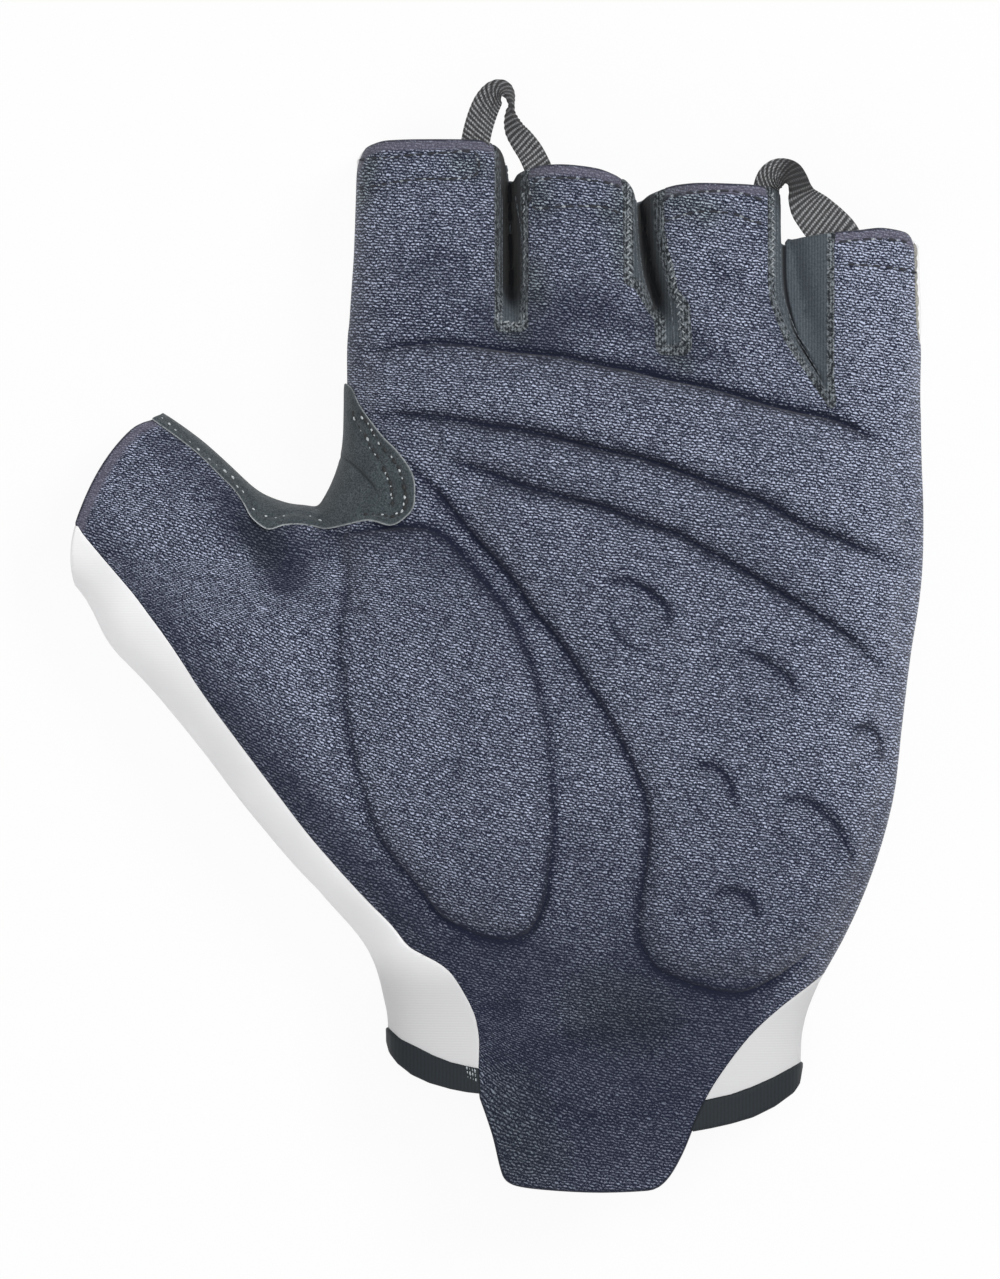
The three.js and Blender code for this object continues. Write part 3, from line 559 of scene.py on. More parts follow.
CUFF_LOW = [
    (370, 1000), (383, 1025), (386, 1036), (391, 1054), (399, 1064), (412, 1074), (430, 1082),
    (450, 1087.5), (466, 1090.5), (480, 1092), (530, 1103), (585, 1117.5), (640, 1127), (690, 1130),
    (710, 1126.5), (731, 1122), (752, 1116), (774, 1105.5), (792, 1093), (798, 1084.5), (800, 1072),
    (806, 1050), (815, 1020)]
CUFF_HIGH = [
    (370, 1008), (386.5, 1026), (400, 1038), (417, 1046), (433, 1054), (450, 1060.5), (467, 1064.5),
    (480, 1067), (530, 1077), (585, 1089), (640, 1098), (690, 1100), (705, 1098), (731, 1092.4),
    (752, 1085), (773, 1076), (800, 1062), (815, 1053)]


THUMB_OUT = ahead(THUMB_ANGLE - 90)            # the way out of the thumb's mouth


def thumb_mouth():
    a = np.linspace(-0.03, 1.06, 40)
    s = np.where(a < 0.6, (0.6 - a) / 0.63, (a - 0.6) / 0.46)
    bow = 5.3 * (1 - unit(s) ** 2.4) - 1.3 * bell(a + 0.01, 0.06)      # the corner is cut back
    corner = place(THUMB_ROWS[1][:2])
    across = ahead(THUMB_ANGLE)
    edge = corner + np.outer(a * THUMB_WIDTH, across) + np.outer(bow, THUMB_OUT)
    low = corner + across * 1.5 * THUMB_WIDTH
    high = corner - across * 0.35 * THUMB_WIDTH
    return np.vstack([high, edge, low])


finger_mouths, thumb_edge = drawn(FINGER_MOUTHS, 0.6), thumb_mouth()
mouth_cuts = [np.vstack([finger_mouths, px([(1100, -300), (200, -300)])]),
              np.vstack([thumb_edge, thumb_edge[-1] + THUMB_OUT * 20, thumb_edge[0] + THUMB_OUT * 20])]
ROUND = 0.42                                   # how far a rounded rim stands beyond its cut


def opened(cloth):
    for outline in mouth_cuts:
        cloth = cut(cloth, ROUND - outline_field(cloth[0][:, :2], outline))
    return cloth


def below(xy, path):
    """How far places lie above a path from left to right, negative below it."""
    line = px(path)
    return xy[:, 1] - np.interp(xy[:, 0], line[:, 0], line[:, 1])


FINE = opened(FINE)
COARSE = opened(COARSE)
print("open skin points", len(FINE[0]))

# %% [markdown]
# ## Relief of the palm
# Foam pads press the knit up, and lines of stitching between them hold it down. The nap is crushed there,
# and shade is painted in and beside the grooves as well, so they are darker than their shadow alone. The
# large pad has six dimples pressed in, with painted shade on their crescent walls, and the folds carry
# some painted shade too. These forms come from the tool that moulds the pads between two layers, not from
# cloth that falls freely, and the photograph shows each of them from straight above.
# So they are drawn as lines with a depth and a width, and all of it is one height over the
# skin that moves the mesh itself.

# %% Grooves, dimples and folds
GROOVES = [    # pixel path, depth, width, strengths in even shares along it
    ([(356, 350), (371, 352), (401, 346), (442, 343), (483, 346), (524, 351), (564, 356), (605, 365),
      (636, 369), (681, 380), (722, 390), (762, 402), (803, 411), (828, 417), (854, 429), (875, 441),
      (892, 446)], 1.4, 1.2, (0.5, 0.75, 0.9, 1, 1, 1, 0.8)),
    ([(362, 419), (377, 418), (401, 415), (442, 418), (483, 425), (524, 431), (564, 440), (605, 451),
      (640, 458), (681, 472), (722, 488), (762, 502), (803, 525), (844, 541), (881, 558), (908, 562)],
      1.4, 1.2, (0.6, 0.8, 1, 1, 1, 0.9, 0.5)),
    ([(440, 455), (483, 471), (524, 487), (564, 498), (605, 508), (636, 522), (676, 534), (705, 551),
      (742, 571), (783, 595), (814, 614), (841, 631), (863, 651), (887, 677)], 1.2, 1.1,
      (0.6, 0.9, 0.9, 0.9, 0.9, 0.8, 0.3)),
    ([(392, 452), (400, 460), (418, 473), (442, 498), (466, 528), (491, 555), (515, 583), (534, 612),
      (554, 634), (591, 690), (613, 726), (630, 762), (644, 794), (648, 835), (643, 872), (637, 927),
      (649, 961), (671, 976), (704, 988), (741, 993), (775, 979), (802, 957), (818, 936)], 1.4, 1.5,
      (0.7, 1, 1, 0.95, 0.8, 0.75, 0.75, 0.7, 0.8, 0.95, 0.9, 0.5)),
    ([(352, 533), (349, 560), (347, 595), (340, 641), (344, 678), (351, 737), (363, 788), (384, 842),
      (416, 882), (441, 915), (472, 933), (502, 940), (527, 933), (542, 909), (548, 881), (554, 826),
      (552, 800), (549, 740), (536, 680), (515, 626), (494, 595), (473, 570), (452, 545), (430, 530),
      (400, 527), (370, 531), (340, 535), (310, 537)], 1.0, 1.3,
      (0.5, 0.4, 0.4, 0.45, 0.6, 0.85, 1, 0.95, 0.6, 0.4, 0.5, 0.8, 1, 1, 1)),
]
DIMPLES = [                                    # centre, half sizes in pixels
    ((637, 612), (27, 26)), ((762, 682), (28, 30)), ((860, 755), (17, 30)), ((703, 793), (27, 25)),
    ((802, 842), (42, 38)), ((728, 917), (27, 26)),
]
CRESCENTS = [    # their sharp upper edges and soft lower ones: path, strength
    ([(606, 585), (620, 580), (637, 585), (655, 596), (667, 611), (666, 630)], 1),
    ([(735, 650), (753, 655), (768, 664), (784, 676), (793, 694)], 1),
    ([(844, 733), (855, 726), (868, 728), (877, 740), (879, 762)], 0.9),
    ([(690, 767), (705, 763), (718, 770), (729, 784), (733, 806)], 0.9),
    ([(777, 803), (792, 797), (811, 804), (832, 824), (850, 862)], 1),
    ([(711, 895), (724, 888), (738, 890), (749, 899), (754, 917)], 1),
    ([(606, 606), (614, 630), (628, 646), (650, 652)], 0.42),
    ([(738, 688), (750, 705), (774, 710)], 0.28),
    ([(684, 782), (690, 803), (708, 817)], 0.28),
    ([(774, 812), (779, 836), (796, 860)], 0.3),
    ([(704, 905), (709, 924), (724, 934)], 0.24),
    ([(850, 760), (857, 777), (868, 780)], 0.24),
]
FOLDS = [    # soft creases: pixel path, depth, width
    ([(478, 1064), (510, 1056), (545, 1046), (594, 1036), (640, 1029), (690, 1026)], 0.8, 2.2),
    ([(478, 1008), (500, 1005), (525, 1000)], 0.5, 1.4),
    ([(520, 1088), (538, 1103), (565, 1113), (606, 1117), (653, 1107), (690, 1094)], 0.5, 1.8),
    ([(415, 268), (432, 255), (450, 256), (466, 268), (474, 284)], 0.3, 1.8),
    ([(548, 320), (580, 312), (612, 322), (636, 340)], 0.4, 2.6),
    ([(655, 300), (672, 330), (704, 352), (742, 366)], 0.4, 2.6),
    ([(372, 300), (410, 318), (452, 322), (490, 318)], 0.35, 3.0),
    ([(700, 262), (722, 276), (748, 282)], 0.3, 2.2),
    ([(246, 515), (264, 545), (290, 562), (325, 560)], 0.7, 3.0),
    ([(330, 905), (380, 940), (430, 985), (470, 1030)], 0.4, 4.0),
]
HEM_ROWS = [    # pixel paths of the stitching near each mouth
    [(364, 160.5), (371, 159.5), (393, 159), (410, 157), (437, 155), (458, 153.5), (471, 153),
      (478, 158), (479, 166), (476, 176), (463, 180), (440, 180.5), (420, 181), (403, 182.5),
      (389, 185), (372, 187.5), (363, 188.5)],
    [(625, 195), (619, 188.5), (610, 185), (595, 182.5), (571, 179.5), (554, 180), (539, 181),
      (531, 184), (529.5, 193), (531, 204), (537, 210), (563, 208), (597, 208), (610, 211), (620, 215),
      (624, 219)],
    [(757, 200), (742, 195), (729, 192.5), (708, 193), (686, 194.5), (669, 198), (661, 200), (660, 210),
      (661, 221), (667, 221.5), (674, 219), (684, 216), (696, 213.5), (713, 213), (735, 216),
      (748, 221.5), (757, 224)],
    [(842, 243), (860, 241), (880, 240.5), (900, 242), (913, 246)],
    [(850, 266), (870, 267), (890, 269), (912, 273)],
]
PAD_RISE, PAD_SLOPE = 2.3, 9.0                 # how high a pad lifts the knit, and over what width


def faded(share, ends=12):
    return unit(np.minimum(share, 1 - share) * ends)


def relief(xy):
    """Height over the skin, how crushed the nap is together with the shade painted there, and how far the
    cloth is rolled, in plan.
    """
    height, crushed_and_shaded, rolled = np.zeros((3, len(xy)))
    for outline in pad_outlines.values():
        depth = unit((1.4 - outline_field(xy, outline)) / PAD_SLOPE)
        height = np.maximum(height, PAD_RISE * (1 - (1 - depth) ** 2.2))
    for path, depth, width, strengths in GROOVES:
        gap, share = line_distance(xy, drawn(path), 8)
        fade = faded(share) * np.interp(share, np.linspace(0, 1, len(strengths)), strengths)
        height -= depth * fade * (0.45 * bell(gap, 0.5) + 0.5 * bell(gap, 2 * width))
        # crushed nap in the groove, and painted shade in and beside it
        crushed_and_shaded = np.maximum(crushed_and_shaded, (0.85 * bell(gap, 0.6) + 0.32 * bell(gap, 1.6)) * fade)
    for (cx, cy), (rx, ry) in DIMPLES:
        away = (xy - px((cx, cy))) * PER_MM[0] / [rx, ry]
        height -= 1.0 * unit(1 - (away ** 2).sum(1)) ** 0.8
    for path, strength in CRESCENTS:
        gap, share = line_distance(xy, drawn(path), 4)
        fade = np.sin(np.pi * unit(share)) ** 0.5 * strength
        height -= 0.5 * bell(gap, 0.55) * fade
        # painted shade on the crescent walls of the dimples
        crushed_and_shaded = np.maximum(crushed_and_shaded, (0.65 * bell(gap, 0.5) + 0.28 * bell(gap, 1.2)) * fade)
    for path, depth, width in FOLDS:
        gap, share = line_distance(xy, drawn(path))
        fade = np.sin(np.pi * unit(share)) ** 0.6
        height -= depth * bell(gap, width) * fade
        # painted shade along the folds
        crushed_and_shaded = np.maximum(crushed_and_shaded, 0.25 * bell(gap, width) * fade)
    for path in HEM_ROWS:
        gap, share = line_distance(xy, drawn(path), 3)
        height -= 0.4 * bell(gap, 0.55) * faded(share, 20)
    for edge in (finger_mouths, thumb_edge):
        gap, _ = line_distance(xy, edge, 3)
        height -= 0.5 * bell(gap, 0.9)
        rolled = np.maximum(rolled, unit((1.95 - gap) / 0.35))
    return height, crushed_and_shaded, rolled


SHARP_LINES = [drawn(row[0]) for row in GROOVES + CRESCENTS] + [drawn(row) for row in HEM_ROWS]
print(len(SHARP_LINES), "sharp lines on the palm")


# %% [markdown]
# ## Cloth materials
# A material is a small tree of nodes. Patterns are laid out in millimetres on the piece, so
# that their size is the real one and they stay with the cloth when it bends.

# %% Node helpers
def colour(r, g, b):
    def linear(c):
        c = c / 255
        return c / 12.92 if c <= 0.04045 else ((c + 0.055) / 1.055) ** 2.4
    return (linear(r), linear(g), linear(b), 1)


class Nodes:
    """A short way to write a node tree, of a new material or a given one."""

    def __init__(self, name=None, roughness=0.9, sheen=0.0, specular=0.3, tree=None):
        if tree:
            self.tree = tree
            return
        self.material = bpy.data.materials.new(name)
        self.material.use_nodes = True
        self.tree = self.material.node_tree
        self.shader = self.tree.nodes["Principled BSDF"]
        for key, value in (("Roughness", roughness), ("Sheen Weight", sheen),
                           ("Specular IOR Level", specular)):
            self.shader.inputs[key].default_value = value

    def set(self, socket, value):
        if isinstance(value, bpy.types.NodeSocket):
            self.tree.links.new(value, socket)
        else:
            socket.default_value = value

    def node(self, kind, inputs=(), **settings):
        node = self.tree.nodes.new(kind)
        for key, value in settings.items():
            setattr(node, key, value)
        for key, value in dict(inputs).items():
            self.set(node.inputs[key], value)
        return node

    def math(self, operation, *values):
        return self.node("ShaderNodeMath", dict(enumerate(values)), operation=operation).outputs[0]

    def plus(self, a, b):
        return self.math("ADD", a, b)

    def times(self, a, b):
        return self.math("MULTIPLY", a, b)

    def scaled(self, value, factor, more):
        return self.math("MULTIPLY_ADD", value, factor, more)

    def attribute(self, name):
        return self.node("ShaderNodeAttribute", attribute_name=name).outputs["Fac"]

    def split(self, vector):
        return self.node("ShaderNodeSeparateXYZ", {0: vector}).outputs

    def ramp(self, value, low, high, to_low=0.0, to_high=1.0):
        return self.node("ShaderNodeMapRange", {"Value": value, "From Min": low, "From Max": high,
                                                "To Min": to_low, "To Max": to_high},
                         interpolation_type="SMOOTHSTEP").outputs[0]

    def noise(self, vector, scale, detail=2.0, roughness=0.5):
        return self.node("ShaderNodeTexNoise", {"Vector": vector, "Scale": scale, "Detail": detail,
                                                "Roughness": roughness}).outputs[0]

    def mix(self, factor, a, b, blend="MIX"):
        values = {0: factor, 6: a, 7: b}             # 6, 7 and output 2 are its colour sockets
        return self.node("ShaderNodeMix", values, data_type="RGBA", blend_type=blend).outputs[2]

    def place_mm(self):
        coordinates = self.node("ShaderNodeTexCoord").outputs["Object"]
        return self.node("ShaderNodeVectorMath", {0: coordinates, 1: (1000, 1000, 1000)},
                         operation="MULTIPLY").outputs[0]

    def bump(self, height, distance, strength=1.0):
        bump = self.node("ShaderNodeBump", {"Height": height, "Distance": distance * MM,
                                            "Strength": strength})
        self.set(self.shader.inputs["Normal"], bump.outputs[0])

    def finish(self, base):
        self.set(self.shader.inputs["Base Color"], base)
        return self.material


# %% [markdown]
# The palm is a brushed warp knit: short bright stitches in staggered rows half a millimetre apart over a
# dark ground, with a mottled nap. Modelled loops would be far too many and too small to see, so the
# stitches are a pattern: rows and stitches are counted off on the map that the palm carries, and each
# stitch gets its own brightness. Attributes of the mesh say where the nap is crushed in a groove together
# with painted shade in the grooves, dimples and folds, where light and shade are painted by the lie of
# the nap, where the hem is rolled over, and where the knit is painted grey, as wear at some places and as
# painted shade below the thumb's fork.

# %% Palm knit
ROW_PITCH, STITCH_PITCH = 0.49, 0.86     # of one knit row, and of one stitch along it
DARK_YARN, BRIGHT_YARN = colour(16, 22, 42), colour(190, 198, 222)
# the grey tone serves both wear and painted shade
GREY_AND_SHADE_TONE = (0.74, 0.8, 0.68, 1)           # what wear leaves of red, green and blue


def knit_material():
    n = Nodes("palm_knit_cloth", roughness=0.92, sheen=0.15, specular=0.2)
    across, up, _ = n.split(n.node("ShaderNodeUVMap", uv_map="knit").outputs[0])
    where = n.place_mm()
    rows = n.plus(n.math("DIVIDE", up, ROW_PITCH), n.times(n.noise(where, 0.7, 1.0), 1.6))
    row = n.math("FLOOR", rows)
    run = n.plus(n.math("DIVIDE", across, STITCH_PITCH), n.times(row, 0.5))
    run = n.plus(run, n.times(n.noise(where, 0.6, 1.0), 1.4))
    run = n.scaled(n.math("FRACT", rows), 0.22, run)               # stitches lean along the row
    stitch = n.node("ShaderNodeCombineXYZ", {0: n.math("FLOOR", run), 1: row}).outputs[0]
    luck = n.node("ShaderNodeTexWhiteNoise", {"Vector": stitch}, noise_dimensions="2D").outputs[0]
    rise = n.ramp(n.math("PINGPONG", n.times(rows, 2.0), 1.0), 0.1, 0.85)
    dash = n.ramp(n.math("PINGPONG", n.times(run, 2.0), 1.0), 0.1, 0.7, 0.35, 1.0)
    fuzz = n.noise(where, 4.2, 2.0, 0.8)
    cloudy = n.noise(where, 0.11, 1.0)
    uneven = n.ramp(n.noise(where, 1.1, 2.0, 0.7), 0.3, 0.6, 0.7, 1.15)
    # crushed nap and painted shade darken the knit together
    crushed_and_shaded = n.times(n.attribute("crushed_and_shaded"), uneven)
    loops = n.times(n.times(rise, dash), n.scaled(luck, 0.5, 0.5))
    level = n.plus(n.plus(loops, n.scaled(fuzz, 2.9, -1.5)), n.times(crushed_and_shaded, -0.5))
    level = n.math("POWER", n.math("MINIMUM", n.math("MAXIMUM", level, 0.0), 1.0), 1.6)
    # painted light and shade of the nap scale the knit's brightness
    nap_light_factor = n.scaled(n.attribute("nap"), 0.72, 1.0)
    shade = n.times(n.ramp(cloudy, 0.25, 0.75, 0.93, 1.07), nap_light_factor)
    shade = n.times(shade, n.scaled(crushed_and_shaded, -0.6, 1.0))
    base = n.mix(n.times(level, shade), DARK_YARN, BRIGHT_YARN)
    hem_edge = n.mix(n.ramp(fuzz, 0.3, 0.7), colour(72, 70, 84), colour(108, 106, 122))
    base = n.mix(n.times(n.attribute("rolled"), 0.8), base, hem_edge)
    # grey of wear, and painted shade below the thumb's fork
    grey = n.mix(1.0, base, GREY_AND_SHADE_TONE, "MULTIPLY")
    base = n.mix(n.times(n.attribute("greyed_and_shaded"), 0.8), base, grey)
    n.bump(n.plus(loops, n.times(fuzz, 0.7)), 0.12, 0.5)
    return n.finish(base)


# %% [markdown]
# The other cloths are smoother. Each has its own fine rows or ribs, a grain, and two tones
# that the grain mixes. The suede's raw edge and the worked seams beside the slots are
# attributes of their meshes. Every colour is set against the photograph.

# %% White stretch cloth and fourchette mesh
def fine_rows(n, vector, pitch, axis=1):
    return n.math("PINGPONG", n.math("DIVIDE", n.split(vector)[axis], pitch / 2), 1.0)


def white_material():
    n = Nodes("white_stretch_cloth", roughness=0.62, sheen=0.1, specular=0.35)
    where = n.place_mm()
    rows = fine_rows(n, where, 0.42)
    soft = n.noise(where, 0.08, 2.0)
    base = n.mix(n.ramp(soft, 0.3, 0.7), colour(233, 233, 234), colour(239, 239, 240))
    # painted shade: the white turns grey towards the cuff
    painted_cuff_shade = n.ramp(n.scaled(n.split(where)["Y"], -0.1, -5.0), 0.0, 1.0)      # 50 mm down and on
    base = n.mix(painted_cuff_shade, base, colour(202, 202, 203))
    n.bump(n.plus(rows, n.noise(where, 2.5)), 0.03, 0.35)
    return n.finish(base)


def fourchette_material():
    n = Nodes("fourchette_cloth", roughness=0.8, sheen=0.1, specular=0.3)
    where = n.place_mm()
    rows = n.times(fine_rows(n, where, 0.48, 0), 0.3)
    grain = n.noise(where, 3.2, 3.0, 0.7)
    specks = n.scaled(rows, 0.3, n.noise(where, 1.7, 3.0, 0.75))
    calm = n.mix(n.ramp(n.plus(rows, grain), 0.3, 1.1), colour(48, 56, 62), colour(88, 97, 104))
    lively = n.mix(n.ramp(specks, 0.47, 0.72), colour(14, 20, 26), colour(132, 140, 146))
    base = n.mix(n.attribute("worked"), calm, lively)
    # painted shade: the strip turns near black where it sinks into the slot
    base = n.mix(n.ramp(n.attribute("sunk_and_shaded"), 0.08, 0.7), base, colour(6, 10, 17))
    n.bump(n.plus(rows, grain), 0.1, 0.6)
    return n.finish(base)


# %% Suede and elastic
def suede_material():
    n = Nodes("fork_suede_hide", roughness=0.85, sheen=0.2, specular=0.2)
    where = n.place_mm()
    grain = n.noise(where, 3.5, 4.0, 0.7)
    cloudy = n.noise(where, 0.3, 3.0)
    base = n.mix(n.ramp(grain, 0.3, 0.72), colour(26, 33, 38), colour(86, 95, 100))
    base = n.mix(n.ramp(cloudy, 0.35, 0.7, 0.0, 0.35), base, colour(34, 42, 47))
    # painted shade along the crease
    base = n.mix(n.times(n.attribute("painted_crease_shade"), 0.6), base, colour(16, 20, 24))
    ragged = n.times(n.attribute("raw_edge"), n.ramp(n.noise(where, 1.3, 3.0, 0.7), 0.28, 0.5))
    base = n.mix(ragged, base, colour(222, 228, 230))
    n.bump(grain, 0.14, 0.8)
    return n.finish(base)


def elastic_material():
    n = Nodes("cuff_elastic_weave", roughness=0.7, sheen=0.05, specular=0.3)
    where = n.place_mm()
    ribs = fine_rows(n, where, 0.6, 0)
    grain = n.noise(where, 2.0, 2.0)
    base = n.mix(n.ramp(n.plus(ribs, grain), 0.4, 1.4), colour(12, 18, 23), colour(20, 28, 34))
    n.bump(ribs, 0.03, 0.4)
    return n.finish(base)


# %% Webbing, lining, foam and thread
def webbing_material():
    n = Nodes("loop_webbing_weave", roughness=0.8, sheen=0.05, specular=0.3)
    uv = n.node("ShaderNodeUVMap", uv_map="ribbon").outputs[0]
    ribs = n.ramp(fine_rows(n, uv, 0.82, 0), 0.3, 1.0)
    threads = fine_rows(n, uv, 0.42, 1)
    grain = n.noise(n.place_mm(), 3.4, 3.0, 0.7)
    woven = n.ramp(n.plus(n.times(threads, 0.6), grain), 0.45, 1.0, 0.12, 1.1)
    level = n.plus(n.times(ribs, woven), n.scaled(grain, 0.6, -0.2))
    # painted shade where the ribbon turns away, over its plain back
    level = n.times(level, n.scaled(n.attribute("plain_and_shaded"), -0.85, 1.0))
    n.bump(n.plus(ribs, n.times(threads, 0.3)), 0.1, 0.8)
    return n.finish(n.mix(level, colour(24, 24, 26), colour(158, 159, 161)))


def lining_material():
    n = Nodes("palm_lining_cloth", roughness=0.9, specular=0.2)
    where = n.place_mm()
    rows = fine_rows(n, where, 0.8)
    grain = n.ramp(n.plus(rows, n.noise(where, 1.5)), 0.4, 1.4)
    n.bump(rows, 0.08, 0.5)
    return n.finish(n.mix(grain, colour(92, 98, 108), colour(150, 156, 166)))


def foam_material():
    n = Nodes("pad_foam_cells", roughness=0.95, specular=0.2)
    cells = n.node("ShaderNodeTexVoronoi", {"Vector": n.place_mm(), "Scale": 1.6}).outputs[0]
    n.bump(cells, 0.2, 0.6)
    return n.finish(n.mix(n.ramp(cells, 0.0, 0.7), colour(40, 46, 60), colour(74, 82, 98)))


def thread_material(name, dark, light):
    n = Nodes(name, roughness=0.6, sheen=0.1, specular=0.4)
    twist = n.noise(n.place_mm(), 4.0, 2.0)
    n.bump(twist, 0.05, 0.5)
    return n.finish(n.mix(n.ramp(twist, 0.35, 0.65), colour(*dark), colour(*light)))


knit, white, fourchette_cloth = knit_material(), white_material(), fourchette_material()
suede, elastic, webbing = suede_material(), elastic_material(), webbing_material()
lining_cloth, foam = lining_material(), foam_material()
THREADS = {                                    # darkest and lightest tone of each twist
    "dark": ((8, 11, 20), (30, 34, 46)), "seam": ((50, 57, 64), (98, 106, 113)),
    "pale": ((104, 112, 118), (168, 174, 178)), "side": ((128, 126, 120), (164, 162, 156)),
    "black": ((3, 4, 6), (14, 16, 20)), "white": ((150, 158, 162), (206, 210, 212)),
}
threads = {name: thread_material(f"{name}_thread_twist", *tones) for name, tones in THREADS.items()}
print(len(bpy.data.materials), "materials")


# %% Finished pieces on their bodies with the CAD parts they replace hidden, and what a mesh carries for its material
def dressed(obj, body, slot_name, *nodes):
    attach(obj, body)
    return named(obj, slot_name, *nodes)


def named(obj, slot_name, *nodes):
    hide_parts(*nodes)
    print(obj.name, len(obj.data.polygons), "faces")
    return obj


def point_attribute(obj, name, values):
    attribute = obj.data.attributes.new(name, "FLOAT", "POINT")
    attribute.data.foreach_set("value", np.asarray(values, np.float32))


def uv_map(obj, name, places):
    """A map with one place for each point, the same on every face that meets there."""
    corners = read(obj.data.loops, "vertex_index", 1, int)[:, 0]
    layer = obj.data.uv_layers.new(name=name)
    layer.data.foreach_set("uv", places[corners].ravel().astype(np.float32))


# %% [markdown]
# The rows of the knit aren't level: they slope down to the right by 9 degrees, and by more
# where the cloth is pulled round the thumb or towards the tab. So the map follows the rows.
# Each point's height on the map is its height on the glove less the slope, added up in steps
# from a line through the middle.

# %% The map that the knit follows
def knit_map(obj):
    x, y = read(obj.data.vertices, "co").T[:2] / MM
    start, steps = px((640, 0))[0], 24
    rise = np.zeros(len(x))
    for k in range(steps):
        px_x, px_y = pixels(np.stack([x + (start - x) * (k + 0.5) / steps, y], 1)).T
        slope = 9 + 7 * unit((545 - px_x) / 90) * unit((px_y - 560) / 60)       # ball of the thumb
        slope += 9 * unit((330 - px_x) / 80) * unit((px_y - 430) / 90)          # the thumb itself
        slope -= 5 * unit((560 - px_x) / 60) * unit((430 - px_y) / 60)          # index finger
        slope += 10 * unit((640 - px_x) / 60) * bell(px_y - 1075, 60)           # tab
        slope += 14 * unit((540 - px_x) / 40) * bell(px_y - 1050, 40)           # tab's root
        rise += np.tan(np.radians(slope)) * (start - x) / steps
    uv_map(obj, "knit", np.stack([x, y - rise], 1))


# %% [markdown]
# Brushed cloth shows every stroke of a hand: where its nap lies away from the viewer it is darker, where
# it stands up it is lighter, and that is sheen, a play of light. Here it is painted light and shade in
# the knit's colour, drawn as broad soft strokes: painted shade round the thumb's root, on the tab, below
# the slots and beside the thumb's fork, and painted light on the slopes of the pads, against their own
# shading, and along the side.

# %% Painted light and shade of the nap, and the grey of wear and of painted shade
PAINTED_LIGHT_AND_SHADE_LINES = [                                  # pixel path, reach in mm, strength
    ([(470, 1010), (540, 1060), (620, 1060), (720, 1050)], 11, -1.0),
    ([(490, 1160), (590, 1165), (680, 1155)], 9, -0.8), ([(250, 520), (262, 545), (283, 578)], 4.5, -1.3),
    ([(165, 625), (215, 695), (300, 808), (395, 910)], 4.5, -0.75), ([(440, 960), (470, 985)], 7, -0.5),
    ([(560, 970), (640, 985), (720, 1010)], 7, -0.4), ([(500, 900), (620, 930), (760, 920)], 16, -0.3),
    ([(880, 240), (900, 420), (905, 600), (885, 740)], 13, 0.75), ([(700, 240), (760, 380)], 12, 0.25),
    ([(585, 225), (585, 310)], 8, -0.2), ([(590, 855), (590, 930)], 8, -0.2),
    ([(885, 290), (895, 400)], 8, 0.15), ([(870, 555), (872, 630)], 8, 0.15),
    ([(270, 690), (292, 750)], 5, -0.12),
    # painted light on the slopes of the pads towards their grooves, against their shading
    ([(420, 403), (500, 410), (600, 430), (700, 457), (800, 496), (895, 538)], 2.2, 0.4),
    ([(660, 525), (700, 543), (760, 578), (840, 630), (890, 666)], 2.2, 0.4),
    ([(440, 485), (490, 547), (540, 605), (590, 675), (625, 735), (650, 800)], 2, 0.45),
    ([(245, 560), (270, 600), (300, 690), (320, 740)], 3.2, 0.4),
    ([(340, 660), (355, 730), (378, 800)], 3, 0.4),
    ([(548, 790), (548, 900)], 2.5, 0.3), ([(465, 912), (530, 916)], 2, 0.25),
    ([(815, 808), (850, 850)], 1.6, 0.3), ([(130, 515), (180, 545), (245, 565)], 3, 0.3),
    # painted light on brushed places of the fingers, and painted shade below the slots
    ([(370, 165), (372, 285)], 3.2, 0.25), ([(405, 320), (452, 324)], 2.5, 0.35),
    ([(362, 380), (395, 386)], 2.5, 0.3), ([(712, 266), (745, 263)], 2.5, 0.4),
    ([(911, 250), (914, 390)], 2.2, 0.4),
    ([(405, 274), (450, 281)], 2.6, -0.5), ([(492, 322), (548, 335)], 4.6, -0.75),
    ([(650, 322), (675, 352)], 4, -0.65), ([(550, 292), (610, 305)], 2.4, -0.35),
    ([(762, 305), (788, 345)], 3, -0.55), ([(838, 399), (888, 405)], 1.8, -0.35),
    # painted shade beside the thumb's fork and along the edges
    ([(165, 442), (200, 474), (226, 500)], 3, -0.6), ([(282, 540), (325, 546)], 2.5, -0.5),
    ([(352, 540), (410, 543), (440, 562)], 3, -0.5), ([(440, 575), (540, 640)], 7, -0.2),
    ([(80, 518), (110, 555), (145, 598)], 3.2, -0.5),
    ([(215, 712), (260, 760), (350, 845), (420, 925)], 4, -0.25),
    ([(455, 956), (538, 958)], 2.8, -0.5), ([(625, 952), (642, 968)], 2.4, -0.3),
    ([(622, 622), (655, 634)], 1.5, -0.45), ([(795, 812), (830, 842), (862, 880)], 1.5, -0.25),
]


# Grey spots: painted shade below the thumb's fork, and greying of wear at the others.
GREY_AND_SHADE_SPOTS = [                                 # beside the hems and slots: pixel path, reach
    ([(664, 196), (690, 205), (705, 214)], 2.6), ([(535, 185), (540, 205)], 2.4),
    ([(460, 165), (476, 168)], 2.2), ([(619, 196), (620, 240), (624, 270)], 1.8),
    ([(532, 272), (538, 300)], 2.0), ([(505, 332), (520, 336)], 1.4), ([(672, 356), (684, 366)], 1.6),
    ([(372, 165), (362, 200)], 1.6), ([(258, 525), (268, 548)], 3.0), ([(606, 214), (618, 222)], 1.8),
    ([(600, 1005), (640, 1015)], 6), ([(500, 1110), (520, 1150)], 7),
]


def grey_of_wear_and_shade(xy):
    grey = np.zeros(len(xy))
    for path, reach in GREY_AND_SHADE_SPOTS:
        grey = np.maximum(grey, bell(line_distance(xy, drawn(path), 3 * reach)[0], reach))
    return grey


